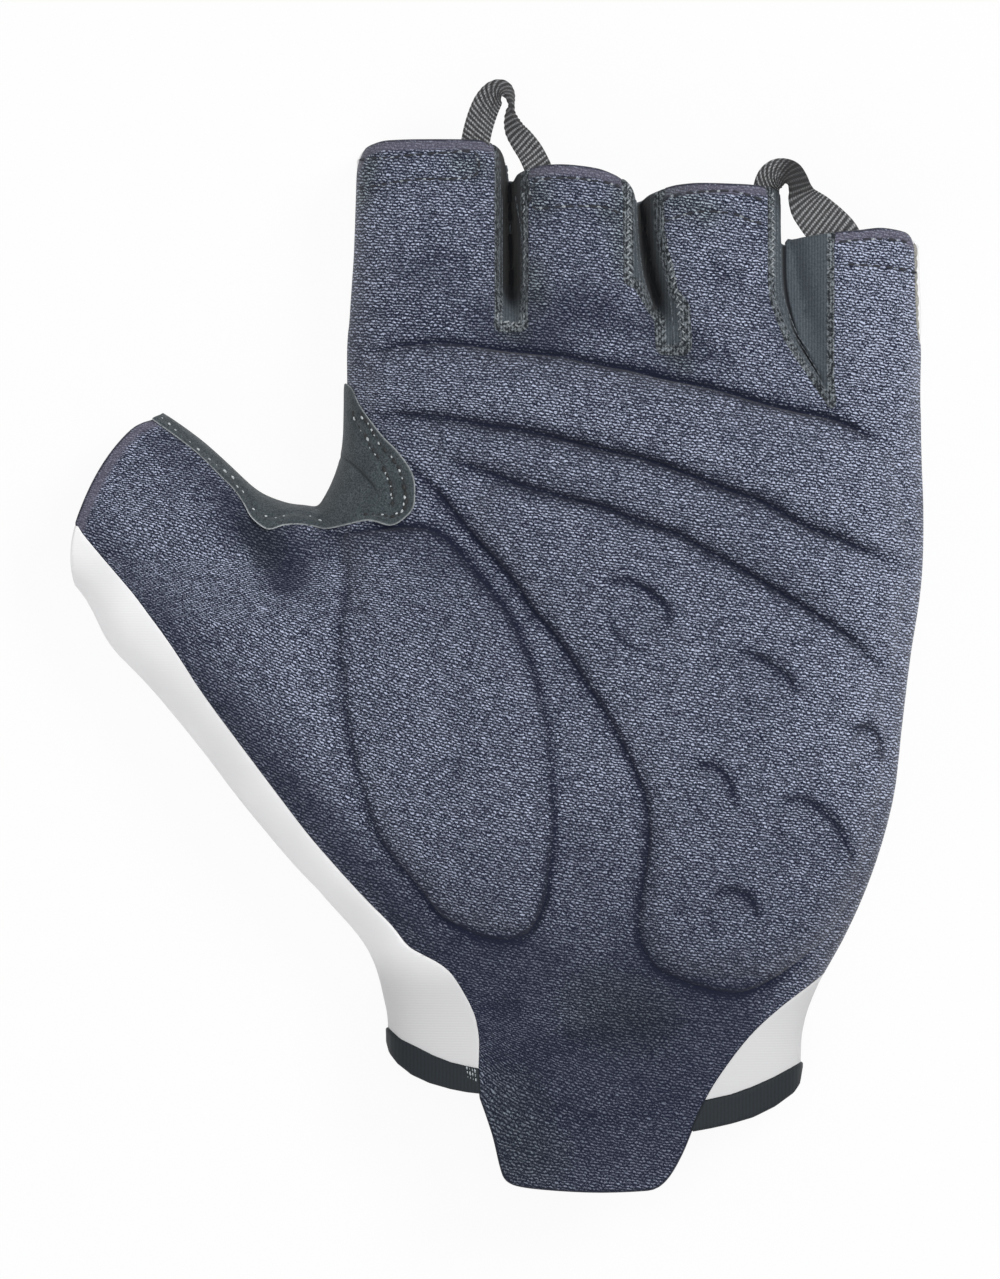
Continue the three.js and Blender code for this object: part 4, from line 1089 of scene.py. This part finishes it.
def painted_light_and_shade(xy):
    """Painted light and shade: below 0 where the knit is painted darker, above 0 where it is painted
    lighter.
    """
    nap = np.zeros(len(xy))
    for path, reach, strength in PAINTED_LIGHT_AND_SHADE_LINES:
        gap, _ = line_distance(xy, drawn(path), 3 * reach)
        nap += strength * bell(gap, reach)
    return np.clip(nap, -1, 1)


# %% [markdown]
# ## Palm panel and heel tab
# One piece of knit runs from the finger hems to the tab, so one mesh does too, and it bends
# where the tab folds; two meshes would tear there. Along the little finger's side the knit
# reaches a little further down, and its edge climbs in a smooth slope below the finger. The
# tab droops over the cuff by its own weight.

# %% Palm knit, cut
def joint_named(name):
    return next(j for j in frame["joints"] if j["name"] == name)


def panel_floor(points):
    """Height down to which the palm knit reaches."""
    px_x, px_y = pixels(points[:, :2]).T
    start, end = unit((px_y - 318) / 84), unit((985 - px_y) / 40)
    eased = start ** 2 * (3 - 2 * start)
    side = unit((px_x - 850) / 20) * eased * end
    rise = unit((px_x - 911) / 4) * (1 - eased) * (start > 0)
    return SEAM - 2.2 * side + 5 * rise


palm = cut(FINE, panel_floor(FINE[0]) - FINE[0][:, 2])
palm = cut(palm, outline_field(palm[0][:, :2], palm_outline) + ROUND)
for outline in fourchette_outlines.values():
    palm = cut(palm, 0.2 - outline_field(palm[0][:, :2], outline))
under = palm[1]
for reach in (1.9, 0.75):
    palm = refined(palm, nearest(palm[0][:, :2], SHARP_LINES) < reach)
print("palm triangles above", len(palm[1]), "and below", len(under))

# %% Palm knit, raised and thickened, with its tab drooping
CLOTH, DROOP = 1.3, 7.0                        # thickness, and degrees
height, crushed_and_shaded, rolled = relief(palm[0][:, :2])
points, faces = thicken(palm, height, height - CLOTH, under=under)
hinge = np.array(joint_named("heel_tab_fold")["pos_m"]) / MM
tab_way = np.array([-0.1559, -0.9878])         # across the hinge, down the tab
run = (points[:, :2] - hinge[:2]) @ tab_way
turn = np.radians(DROOP) * unit(run / 4)
drop = points[:, 2] - hinge[2]
lean = run * (np.cos(turn) - 1) - drop * np.sin(turn)
points[:, :2] += np.outer(np.where(run > 0, lean, 0), tab_way)
points[:, 2] += np.where(run > 0, drop * (np.cos(turn) - 1) - run * np.sin(turn), 0)
palm_cloth = mesh_object("palm_cloth", points, faces, knit)

# %% What the palm carries for its material, and its map
underside = np.ones(len(points) - len(crushed_and_shaded))
for name, values in (("crushed_and_shaded", np.r_[crushed_and_shaded, underside]), ("rolled", np.r_[rolled, 0 * underside]),
                     ("nap", painted_light_and_shade(points[:, :2])), ("greyed_and_shaded", grey_of_wear_and_shade(points[:, :2]))):
    point_attribute(palm_cloth, name, values)
knit_map(palm_cloth)
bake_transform(palm_cloth)
named(palm_cloth, "palm_knit", "palm_panel", "heel_tab")

# %% [markdown]
# ## White back and the fourchettes
# The back is a plain panel of stretch cloth that wraps round the sides up to the palm's edge.
# It is the rest of the skin once the palm and the strips are taken out, and it ends inside
# the cuff binding.

# %% White back
STRIP_FLOOR = 4.2                              # height down to which the fourchettes reach


def region_field(xyz, outline, floor):
    """Negative where a panel lies, above a floor and inside an outline."""
    return np.maximum(outline_field(xyz[:, :2], outline), floor - xyz[:, 2])


back = cut(FINE, -region_field(FINE[0], palm_outline, panel_floor(FINE[0])))
for outline in fourchette_outlines.values():
    back = cut(back, -region_field(back[0], outline, STRIP_FLOOR))
back = cut(back, 1.2 - below(back[0][:, :2], CUFF_LOW))
points, faces = thicken(back, -0.05, -0.95)
back_cloth = mesh_object("back_cloth", points, faces, white)
dressed(back_cloth, "glove", "white_stretch", "back_panel")

# %% [markdown]
# A fourchette is a narrow strip between two fingers. It is set in a little lower than the palm, as turned
# seams leave it, and folds down into the slot. So the strip is cut from the same skin and sunk along the
# slot's deepest line, where no light comes, and its colour is painted near black there as shade. Its
# edges are worked with overlock thread, which makes them livelier than its middle.

# %% Fourchettes
SLOTS = {    # pixel path of the deepest line, depth, reach left and right, shade
    "index_middle": ([(508, 120), (509, 185), (510, 215), (511, 250), (511, 280), (512, 300),
        (513, 318)], 4.6, 1.9, 1.9, 1.0),
    "middle_ring": ([(640, 130), (641, 205), (642, 240), (646, 270), (654, 300), (661, 318),
        (664, 330)], 3.4, 0.8, 2.2, 0.8),
    "ring_little": ([(783, 150), (783, 245), (784, 285), (788, 310), (795, 335), (806, 357), (820, 380),
        (829, 396)], 0.8, 0.35, 0.45, 0.85),
}
STRIP_SEAM = {"index_middle": 1.4, "middle_ring": 1.7, "ring_little": 1.2}     # stitched edge
for name, outline in fourchette_outlines.items():
    strip = cut(FINE, region_field(FINE[0], outline, STRIP_FLOOR))
    strip = refined(strip, strip[0][:, 2] > SEAM)
    path, depth, steep, far, shade = SLOTS[name]
    line = drawn(path)
    if steep < 1:                              # a steep side needs smaller triangles
        for reach in (1.6, 1.1):
            strip = refined(strip, line_distance(strip[0][:, :2], line, 8)[0] < reach)
    gap, share = line_distance(strip[0][:, :2], line, 8)
    right_of = strip[0][:, 0] > np.interp(strip[0][:, 1], line[::-1, 1], line[::-1, 0])
    sunk_and_shaded = depth * bell(gap, np.where(right_of, far, steep)) * unit((1 - share) * 6)
    strip[0][:, 2] -= sunk_and_shaded * unit(strip[0][:, 5]) ** 0.5
    strip[0][:, 3:] = normals_of(strip[0][:, :3], strip[1])
    points, faces = thicken(strip, 0.1 * np.exp(-sunk_and_shaded), -0.95)
    obj = mesh_object(f"{name}_strip", points, faces, fourchette_cloth)
    # painted shade, strongest along the slot's deepest line
    point_attribute(obj, "sunk_and_shaded", np.r_[sunk_and_shaded / depth, 0 * points[len(sunk_and_shaded):, 0]] * shade)
    edge = np.abs(outline_field(points[:, :2], outline))
    point_attribute(obj, "worked", unit((STRIP_SEAM[name] - edge) / 0.3))
    dressed(obj, "glove", "fourchette_mesh", f"fourchette_{name}")

# %% [markdown]
# ## Thumb fork patch
# A piece of suede is laid over the fork, where the bar wears the glove. Its edge is left raw
# and shows the pale middle of the hide. Two rows of black thread hold it and sink into it.
# The hide is thicker than cloth, so it is raised over the skin, pressed in along its rows,
# and creased once where the fork bends.

# %% Suede patch
FORK_ROWS = [    # stitching: pixel paths
    [(354, 414), (360, 428), (368, 440), (373, 450), (380, 460), (386, 472), (390, 480), (393, 492),
      (394, 504)],
    [(363, 416), (372, 430), (380, 444), (388, 455), (398, 466), (402, 476), (405, 488), (407, 500),
      (404, 511), (394, 517), (382, 515), (366, 515)],
]
FORK_ARM_ROW = [
    (160, 419), (174, 430), (188, 441), (212, 462), (226, 474), (237, 486), (246, 498), (255, 511),
    (268, 519), (282, 517), (298, 516), (312, 519), (322, 522)]
FORK_CREASE = [
    (338, 456), (350, 461), (360, 470), (370, 481), (378, 492), (384, 502)]
fork_outline = drawn(FORK + FORK[:1], 0.5)
fork = cut(FINE, region_field(FINE[0], fork_outline, SEAM - 2))
under = fork[1]
for _ in range(2):
    fork = refined(fork, fork[0][:, 2] > SEAM - 1)
fork_lines = [drawn(path) for path in FORK_ROWS + [FORK_CREASE]]
fork = refined(fork, nearest(fork[0][:, :2], fork_lines) < 0.9)
plan = fork[0][:, :2]
edge_gap = -outline_field(plan, fork_outline)
height = 0.62 - 0.15 * np.exp(-edge_gap / 0.5)
for path, press, width in [(row, 0.3, 0.5) for row in FORK_ROWS] + [(FORK_ARM_ROW, 0.2, 0.4)]:
    height -= press * bell(line_distance(plan, drawn(path), 4)[0], width)
crease, share = line_distance(plan, drawn(FORK_CREASE), 8)
height -= 0.25 * bell(crease, 0.35) * faded(share, 4)
height = np.maximum(height, 0.22)
points, faces = thicken(fork, height, 0.06, bulge=0.5, under=under)

# %% The patch's raw edge, and painted shade along its crease
fork_hide = mesh_object("fork_hide", points, faces, suede)
raw = bell(outline_field(points[:, :2], fork_outline), 0.15)
raw *= np.clip(1.1 - 0.6 * (points[:, 0] - px((300, 0))[0]) / 12, 0.45, 1.1)     # fades right
point_attribute(fork_hide, "raw_edge", np.where(points[:, 2] > SEAM, raw, 0))
crease_shade = bell(crease, 0.26) * faded(share, 4)
point_attribute(fork_hide, "painted_crease_shade", np.r_[crease_shade, np.zeros(len(points) - len(crease_shade))])
dressed(fork_hide, "glove", "fork_suede", "thumb_fork_patch")

# %% [markdown]
# ## Cuff binding, lining and pads
# The elastic is folded over the cuff edge of the back and stretched flat, so it is a smooth
# band with a rounded edge, cut from the skin between the two paths of the cuff.

# %% Binding
band = cut(FINE, -region_field(FINE[0], palm_outline, SEAM))
band = cut(band, below(band[0][:, :2], CUFF_HIGH) + 0.3)
band = cut(band, 0.4 - below(band[0][:, :2], CUFF_LOW))
points, faces = thicken(band, 0.35, -1.5, bulge=0.45, steps=5)
cuff_band = mesh_object("cuff_band", points, faces, elastic)
dressed(cuff_band, "glove", "cuff_elastic", "cuff_binding")

# %% [markdown]
# Under the knit lie four pads of foam, and under them the lining, which shows inside the
# mouths. Both follow the coarse skin, a little deeper than the knit's underside. The lining
# dips with the grooves and at the knuckles, because it is sewn through there.

# %% Lining
def inside(cloth, outline, side=1):
    return cut(cloth, side * outline_field(cloth[0][:, :2], outline))


lining = cut(COARSE, SEAM + 1.5 - COARSE[0][:, 2])
lining = inside(lining, palm_outline)
for outline in fourchette_outlines.values():
    lining = inside(lining, outline, -1)
lining = cut(lining, 4.5 - below(lining[0][:, :2], CUFF_LOW))
deep = 0.9 * bell(nearest(lining[0][:, :2], SHARP_LINES), 2.5) + 0.7 * near_roots(lining[0][:, :3])
points, faces = thicken(lining, -1.6 - deep, -2.2 - deep)
lining = mesh_object("palm_under_cloth", points, faces, lining_cloth)
dressed(lining, "glove", "lining_cloth", "palm_lining")

# %% Foam pads
for name, outline in pad_outlines.items():
    pad = inside(cut(COARSE, SEAM - COARSE[0][:, 2]), outline)
    top = np.maximum(relief(pad[0][:, :2])[0] - 1.35, -1.4)
    points, faces = thicken(pad, top, -1.5)
    obj = mesh_object(f"{name}_foam", points, faces, foam)
    dressed(obj, "glove", "pad_foam", name)

# %% [markdown]
# ## Pull loops
# Each loop is a flat ribbon of ribbed webbing, sewn into two neighbouring mouths and twisted on its way,
# with which a rider pulls the glove off. A flat bar swept along the path would lack the ribs, so the
# ribbon is built ring by ring and swells at each rib. At its sewn ends it rides partly on the glove.

# %% Ribbons
# In the last column the ribbon's plain back shows: its ribs flatten there, and it is painted dark as
# shade.
LOOPS = {    # pixel x and y, height, width, turn in degrees, slant of the ribs, plain back showing
    "index_middle": [(475, 146, 15.2, 4.8, 0, 0.55, 0), (478, 131, 15.3, 4.8, 4, 0.55, 0),
        (482.5, 116, 15.5, 4.8, 10, 0.55, 0), (488, 103.5, 15.9, 4.8, 20, 0.55, 0.1),
        (495.5, 94, 16.4, 4.8, 36, 0.5, 0.3), (503.5, 91.5, 16.8, 4.6, 54, 0.45, 0.6),
        (509.5, 96.5, 16.9, 4.4, 72, 0.4, 0.7), (511.5, 106, 16.7, 4.2, 88, 0.35, 0.6),
        (511, 115, 16.4, 4.2, 106, 0.3, 0.3), (512.5, 124, 16.1, 4.2, 124, 0.3, 0.1),
        (516, 133, 15.8, 4.2, 142, 0.25, 0), (523, 143, 15.5, 4.3, 158, 0.25, 0),
        (530.5, 154, 15.3, 4.4, 170, 0.25, 0), (536.5, 166, 15.2, 4.5, 176, 0.25, 0),
        (540, 174, 15.2, 4.5, 180, 0.25, 0)],
    "ring_little": [(765.5, 196, 13.6, 4.4, 0, 0.9, 0), (766.5, 186, 13.7, 4.4, 2, 0.9, 0),
        (771, 178.5, 14.0, 4.8, 6, 0.8, 0), (777.5, 174.5, 14.6, 5.0, 12, 0.7, 0.1),
        (785, 174, 15.4, 4.9, 22, 0.5, 0.9), (791.5, 176, 16.0, 4.7, 34, 0.3, 1),
        (796.5, 181.5, 16.2, 4.5, 42, 0.1, 1), (799, 189.5, 16.1, 4.7, 38, 0, 0.9),
        (801.5, 198, 15.9, 5.5, 26, -0.1, 0.5), (807, 207, 15.8, 6.5, 14, -0.15, 0.1),
        (816, 217, 15.9, 7.2, 6, -0.15, 0), (825, 226.5, 16.0, 7.6, 2, -0.15, 0),
        (834, 236, 16.0, 7.7, 0, -0.15, 0), (839, 244, 16.0, 7.7, 0, -0.15, 0)],
}


def ribbon_rings(path, thickness=1.0, rib=0.82):
    table = [(*px((x, y)), z, *rest) for x, y, z, *rest in path]
    rows = curve(table, rib / 8)
    centre, width, slant, plain_and_shaded = rows[:, :3], rows[:, 3:4], rows[:, 5:6], rows[:, 6]
    turn = np.radians(rows[:, 4:5])
    heading = np.gradient(centre, axis=0)
    heading /= np.linalg.norm(heading, axis=1, keepdims=True)
    wide = np.column_stack([heading[:, 1], -heading[:, 0], np.zeros(len(heading))])
    wide /= np.linalg.norm(wide, axis=1, keepdims=True)
    level = np.cross(wide, heading)
    thick = level * np.cos(turn) - wide * np.sin(turn)
    wide = wide * np.cos(turn) + level * np.sin(turn)
    run = np.r_[0, np.cumsum(np.linalg.norm(np.diff(centre, axis=0), axis=1))][:, None]
    a = np.linspace(0, 2 * np.pi, 24, endpoint=False)
    side = np.sign(np.cos(a)) * np.abs(np.cos(a)) ** 0.35 * width / 2
    rise = np.sign(np.sin(a)) * np.abs(np.sin(a)) ** 0.6 * thickness / 2
    along = run + side * slant
    ribs = 1 + 0.22 * np.cos(2 * np.pi * along / rib) * (1 - plain_and_shaded[:, None])
    points = centre[:, None] + wide[:, None] * side[..., None]
    points = points + thick[:, None] * (rise * ribs)[..., None]
    return points, along, side, plain_and_shaded


# %% The two loops, each with its map
for name, path in LOOPS.items():
    points, along, side, plain_and_shaded = ribbon_rings(path)
    count, sides = points.shape[:2]
    ends = [tuple(range(sides))[::-1], tuple(range((count - 1) * sides, count * sides))]
    obj = mesh_object(f"{name}_ribbon", points.reshape(-1, 3), ring_faces(count, sides) + ends, webbing)
    uv_map(obj, "ribbon", np.stack([along, side], -1).reshape(-1, 2))
    point_attribute(obj, "plain_and_shaded", np.repeat(plain_and_shaded, sides))
    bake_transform(obj)
    named(obj, "loop_webbing", f"pull_loop_{name}")

# %% [markdown]
# ## Thread
# Every seam line is a row of separate stitches. On the cloth a stitch is a short hump of
# thread between two needle holes, so a stretched ball stands for it. One node tree makes them
# all: it puts a bead at each point of a mesh, turned along the seam and laid on the cloth,
# each of a slightly different size.

# %% Stitch tree
def stitch_tree():
    tree = bpy.data.node_groups.new("stitch_row", "GeometryNodeTree")
    face = tree.interface
    face.new_socket("Geometry", in_out="INPUT", socket_type="NodeSocketGeometry")
    for label, value in (("Stitch Length", 0.0015), ("Thread Width", 0.0004), ("Variation", 0.2)):
        face.new_socket(label, in_out="INPUT", socket_type="NodeSocketFloat").default_value = value
    face.new_socket("Thread", in_out="INPUT", socket_type="NodeSocketMaterial")
    face.new_socket("Geometry", in_out="OUTPUT", socket_type="NodeSocketGeometry")

    n = Nodes(tree=tree)
    given = n.node("NodeGroupInput").outputs
    wide, variation = given["Thread Width"], given["Variation"]
    ball = n.node("GeometryNodeMeshUVSphere", {"Segments": 10, "Rings": 8, "Radius": 0.5}).outputs[0]
    size = n.node("ShaderNodeCombineXYZ", {0: given["Stitch Length"], 1: wide, 2: wide}).outputs[0]
    bead = n.node("GeometryNodeTransform", {"Geometry": ball, "Scale": size}).outputs[0]
    points = n.node("GeometryNodeMeshToPoints", {"Mesh": given["Geometry"]}).outputs[0]

    def stored(name, kind):
        return n.node("GeometryNodeInputNamedAttribute", {"Name": name}, data_type=kind).outputs[0]

    turn = n.node("FunctionNodeAlignRotationToVector", {"Vector": stored("along", "FLOAT_VECTOR")},
                  axis="X").outputs[0]
    turn = n.node("FunctionNodeAlignRotationToVector",
                  {"Rotation": turn, "Vector": stored("above", "FLOAT_VECTOR")},
                  axis="Z", pivot_axis="X").outputs[0]
    low, high = n.math("SUBTRACT", 1.0, variation), n.math("ADD", 1.0, variation)
    spread = n.node("FunctionNodeRandomValue", {2: low, 3: high, "Seed": 7}, data_type="FLOAT")
    made = n.node("GeometryNodeInstanceOnPoints", {"Points": points, "Instance": bead, "Rotation": turn,
                                                   "Scale": spread.outputs[1]}).outputs[0]
    for kind in ("RealizeInstances", "SetShadeSmooth"):
        made = n.node(f"GeometryNode{kind}", {0: made}).outputs[0]
    painted = n.node("GeometryNodeSetMaterial", {0: made, "Material": given["Thread"]}).outputs[0]
    n.node("NodeGroupOutput", {0: painted})
    return tree


STITCHES = stitch_tree()


# %% Rows of stitches on the cloth
def bare_bvh(obj):
    """The object as a surface that rays can meet."""
    return BVHTree.FromPolygons([v.co[:] for v in obj.data.vertices],
                                [p.vertices[:] for p in obj.data.polygons])


def laid(line, surface, pitch, sink=0.0):
    """Points every pitch along a plan line, dropped onto a surface from above."""
    line = curve(line, pitch)
    ways = np.gradient(line, axis=0)
    rows = []
    for at, way in zip(line, ways):
        hit, normal, _, _ = surface.ray_cast(Vector((*at, 60)) * MM, Vector((0, 0, -1)))
        if hit is not None:
            normal = np.array(normal)
            rows.append((np.array(hit) - normal * sink * MM, np.array([*way, 0.0]), normal))
    return rows


def between(rows):
    """Places halfway between neighbouring stitches, where the ends of thread show."""
    return [((a[0] + b[0]) / 2, a[1], a[2]) for row in rows for a, b in zip(row[:-1], row[1:])]


def stitched(name, rows, length, width, thread, variation=0.18, stray=0.0):
    mesh = bpy.data.meshes.new(name)
    aside = np.random.default_rng(5).normal(0, stray * MM, (len(rows), 3)) * [1, 1, 0]
    mesh.from_pydata((np.array([r[0] for r in rows]) + aside).tolist(), [], [])
    for key, k in (("along", 1), ("above", 2)):
        values = np.array([r[k] for r in rows], np.float32)
        mesh.attributes.new(key, "FLOAT_VECTOR", "POINT").data.foreach_set("vector", values.ravel())
    obj = bpy.data.objects.new(name, mesh)
    bpy.context.scene.collection.objects.link(obj)
    modifier = obj.modifiers.new("stitches", "NODES")
    modifier.node_group = STITCHES
    sockets = {s.name: s.identifier for s in STITCHES.interface.items_tree if s.in_out == "INPUT"}
    for label, value in (("Stitch Length", length * MM), ("Thread Width", width * MM),
                         ("Variation", variation), ("Thread", thread)):
        modifier[sockets[label]] = value
    obj.update_tag()
    made = bpy.data.meshes.new_from_object(obj.evaluated_get(bpy.context.evaluated_depsgraph_get()))
    obj.modifiers.clear()
    obj.data = made
    made.name = name
    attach(obj, "glove")
    print(name, len(rows), "stitches")
    return obj


# %% Rows along the hems of the fingers
palm_surface = bare_bvh(palm_cloth)
hem_rows = [laid(px(path), palm_surface, 1.85, 0.02) for path in HEM_ROWS]
stitched("hem_stitches", sum(hem_rows, []), 1.5, 0.5, threads["dark"])
specks = between(hem_rows)
stitched("hem_thread_ends", specks[::2] + specks[1::3], 0.6, 0.36, threads["pale"], variation=0.35)

# %% [markdown]
# Beside each slot two or three lines of thread run down the strip, and a zigzag of overlock
# covers the raw edge. A zigzag is the same row of beads, put aside by turns and turned
# slantwise.

# %% Seams beside the slots
fourchette_surfaces = {name: bare_bvh(bpy.data.objects[f"{name}_strip"]) for name in FOURCHETTES}
SEAM_LINES = {    # lines of thread that run beside each slot
    "index_middle": [[(499.8, 165), (500, 200), (499.5, 250), (499.5, 325)], [(502, 200), (502, 250),
        (502.5, 322)], [(516, 200), (518, 212), (521.5, 232), (523.5, 255), (523, 290), (523, 322)],
        [(526, 215), (526, 255), (526, 290), (526, 322)]],
    "middle_ring": [[(633.5, 200), (634, 220), (636, 250), (639.5, 280), (647, 302)], [(636, 205),
        (637, 225), (639, 250), (643, 278), (651, 303)], [(656.5, 212), (657, 230), (660, 250),
        (665, 275), (670, 300), (674, 345)], [(660, 212), (660.5, 230), (664, 250), (670, 275),
        (677, 300), (681, 345)]],
    "ring_little": [[(770.5, 203), (770.5, 286), (774, 308), (784, 332), (797, 352), (812, 374),
        (826, 398)], [(773.5, 206), (773.5, 286), (777.5, 308), (787.5, 332), (800, 351), (815, 374),
        (827, 396)], [(776.5, 210), (776.5, 286), (781, 308), (791, 332), (804, 351), (818, 374)],
        [(779.5, 250), (780, 284), (785, 306), (795, 332), (807, 350)]],
}
ZIGZAGS = {    # overlocked edges: pixel path, width in pixels
    "index_middle": [([(523, 196), (524.5, 215), (525, 250), (524, 285)], 2.0), ([(499, 315),
        (505, 324), (518, 325), (525, 318)], 4.0)],
    "middle_ring": [([(629, 188), (629, 282)], 3.2), ([(667, 225), (671, 262), (678, 300), (682, 344)],
        3.6)],
    "ring_little": [([(772, 196), (772, 280)], 1.6)],
}
for name, surface in fourchette_surfaces.items():
    rows = [r for path in SEAM_LINES[name] for r in laid(px(path), surface, 1.25)]
    stitched(f"{name}_seam_thread", rows, 1.35, 0.26, threads["seam"],
             variation=0.1)
    rows = []
    for path, width in ZIGZAGS[name]:
        for k, (at, way, up) in enumerate(laid(px(path), surface, 0.62)):
            across = np.cross(up, way) / max(np.linalg.norm(np.cross(up, way)), 1e-9)
            side = 1 if k % 2 else -1
            slanted = way + across * side * np.linalg.norm(way) * 1.2
            rows.append((at + across * side * width / 12 * MM, slanted, up))
    stitched(f"{name}_overlock", rows, 0.95, 0.28, threads["pale"],
             variation=0.3)

# %% [markdown]
# The side seam's thread shows as coarse beads along the little finger's edge, and their grey-beige is
# painted shade of the white cloth that turns away there. A bar tack, a few stitches across each other,
# holds the end of the binding.

# %% Overlocked side seam, and the bar tack on the binding
SIDE_SEAM = [(913.5, 240), (914.5, 290), (916, 338)]
# the beads' grey-beige is painted shade of the white edge
stitched("side_seam_overlock", laid(px(SIDE_SEAM), bare_bvh(back_cloth), 1.9), 2.6, 1.0, threads["side"],
         variation=0.12)
tack, band_surface = [], bare_bvh(cuff_band)
for k, x in enumerate(np.linspace(467, 475, 4)):
    tack += laid(px([(x, 1066 + k), (x + 1, 1075 + k)]), band_surface, 0.6)
stitched("binding_bar_tack", tack, 0.55, 0.24, threads["pale"], variation=0.45)

# %% Rows on the fork patch
fork_surface = bare_bvh(fork_hide)
fork_rows = [laid(px(path), fork_surface, 1.15, 0.1) for path in FORK_ROWS]
stitched("fork_stitches", sum(fork_rows, []), 1.05, 0.58, threads["black"],
         variation=0.4, stray=0.1)
arm_row = laid(px(FORK_ARM_ROW), fork_surface, 1.5)
stitched("fork_thread_ends", between(fork_rows) + arm_row, 0.55, 0.3, threads["white"],
         variation=0.55, stray=0.25)

# %% [markdown]
# ## Stage
# The glove was photographed from straight above on white, from so far that its outline shows
# no perspective. A long lens does the same: its length follows from the distance and from
# what the picture's long side covers.

# %% Camera
FRAME_LENGTH = 1279 / PER_MM[0]                # what the photograph's long side covers
DISTANCE, SENSOR = 2500.0, 36
camera = bpy.data.objects.new("camera", bpy.data.cameras.new("camera"))
bpy.context.scene.collection.objects.link(camera)
middle = px((500, 639.5))
camera.location = Vector((*middle, SEAM + DISTANCE)) * MM
camera.data.sensor_width = SENSOR
camera.data.lens = SENSOR * DISTANCE / FRAME_LENGTH
camera.data.clip_end = 20
bpy.context.scene.camera = camera
print("lens", round(camera.data.lens), "mm")

# %% [markdown]
# The light is soft and comes from the upper right. The floor and the world look white where
# the camera sees them, but give less light than they show, so that the cloth keeps its tones.

# %% Floor and light
def seen_directly(n):
    """1 for rays of the camera, of a reflection or through glass, 0 for the rest."""
    ray = n.node("ShaderNodeLightPath").outputs
    mirrored = n.math("MAXIMUM", ray["Is Glossy Ray"], ray["Is Transmission Ray"])
    return n.math("MAXIMUM", ray["Is Camera Ray"], mirrored)


def either(n, share, first, second):
    return n.node("ShaderNodeMixShader", {0: share, 1: first, 2: second}).outputs[0]


def paper_material():
    """White paper: it keeps a faint shadow, and looks white wherever it is seen."""
    n = Nodes("floor_paper", roughness=0.9, specular=0.1)
    n.finish(colour(226, 226, 227))
    white_light = n.node("ShaderNodeEmission", {"Strength": 1.0}).outputs[0]
    paper = either(n, n.times(seen_directly(n), 0.93), n.shader.outputs[0], white_light)
    n.set(n.tree.nodes["Material Output"].inputs["Surface"], paper)
    return n.material


HALF = 1500                                    # half of the floor's side
corners = [(-HALF, -HALF, 0), (HALF, -HALF, 0), (HALF, HALF, 0), (-HALF, HALF, 0)]
floor = mesh_object("floor", corners, [(0, 1, 2, 3)], paper_material())


# %% Lamps and world
def lamp(name, place_m, size, watts):
    data = bpy.data.lights.new(name, "AREA")
    data.shape, data.size, data.energy = "DISK", size, watts
    obj = bpy.data.objects.new(name, data)
    obj.location = place_m
    obj.rotation_euler = (-Vector(place_m)).to_track_quat("-Z", "Y").to_euler()
    bpy.context.scene.collection.objects.link(obj)


lamp("key", (0.75, 0.55, 0.95), 0.6, 9.5)
lamp("fill", (-0.9, -0.9, 1.0), 1.0, 5)
lamp("above", (0.0, 0.0, 1.4), 0.9, 5)
world = bpy.data.worlds.new("studio")
world.use_nodes = True
sky = Nodes(tree=world.node_tree)
light = world.node_tree.nodes["Background"]
light.inputs["Color"].default_value, light.inputs["Strength"].default_value = (1, 1, 1, 1), 0.42
white_sky = sky.node("ShaderNodeBackground", {"Color": (1, 1, 1, 1), "Strength": 1.0}).outputs[0]
sky.set(world.node_tree.nodes["World Output"].inputs["Surface"],
        either(sky, seen_directly(sky), light.outputs[0], white_sky))
bpy.context.scene.world = world
bpy.context.scene.view_settings.view_transform = "Standard"
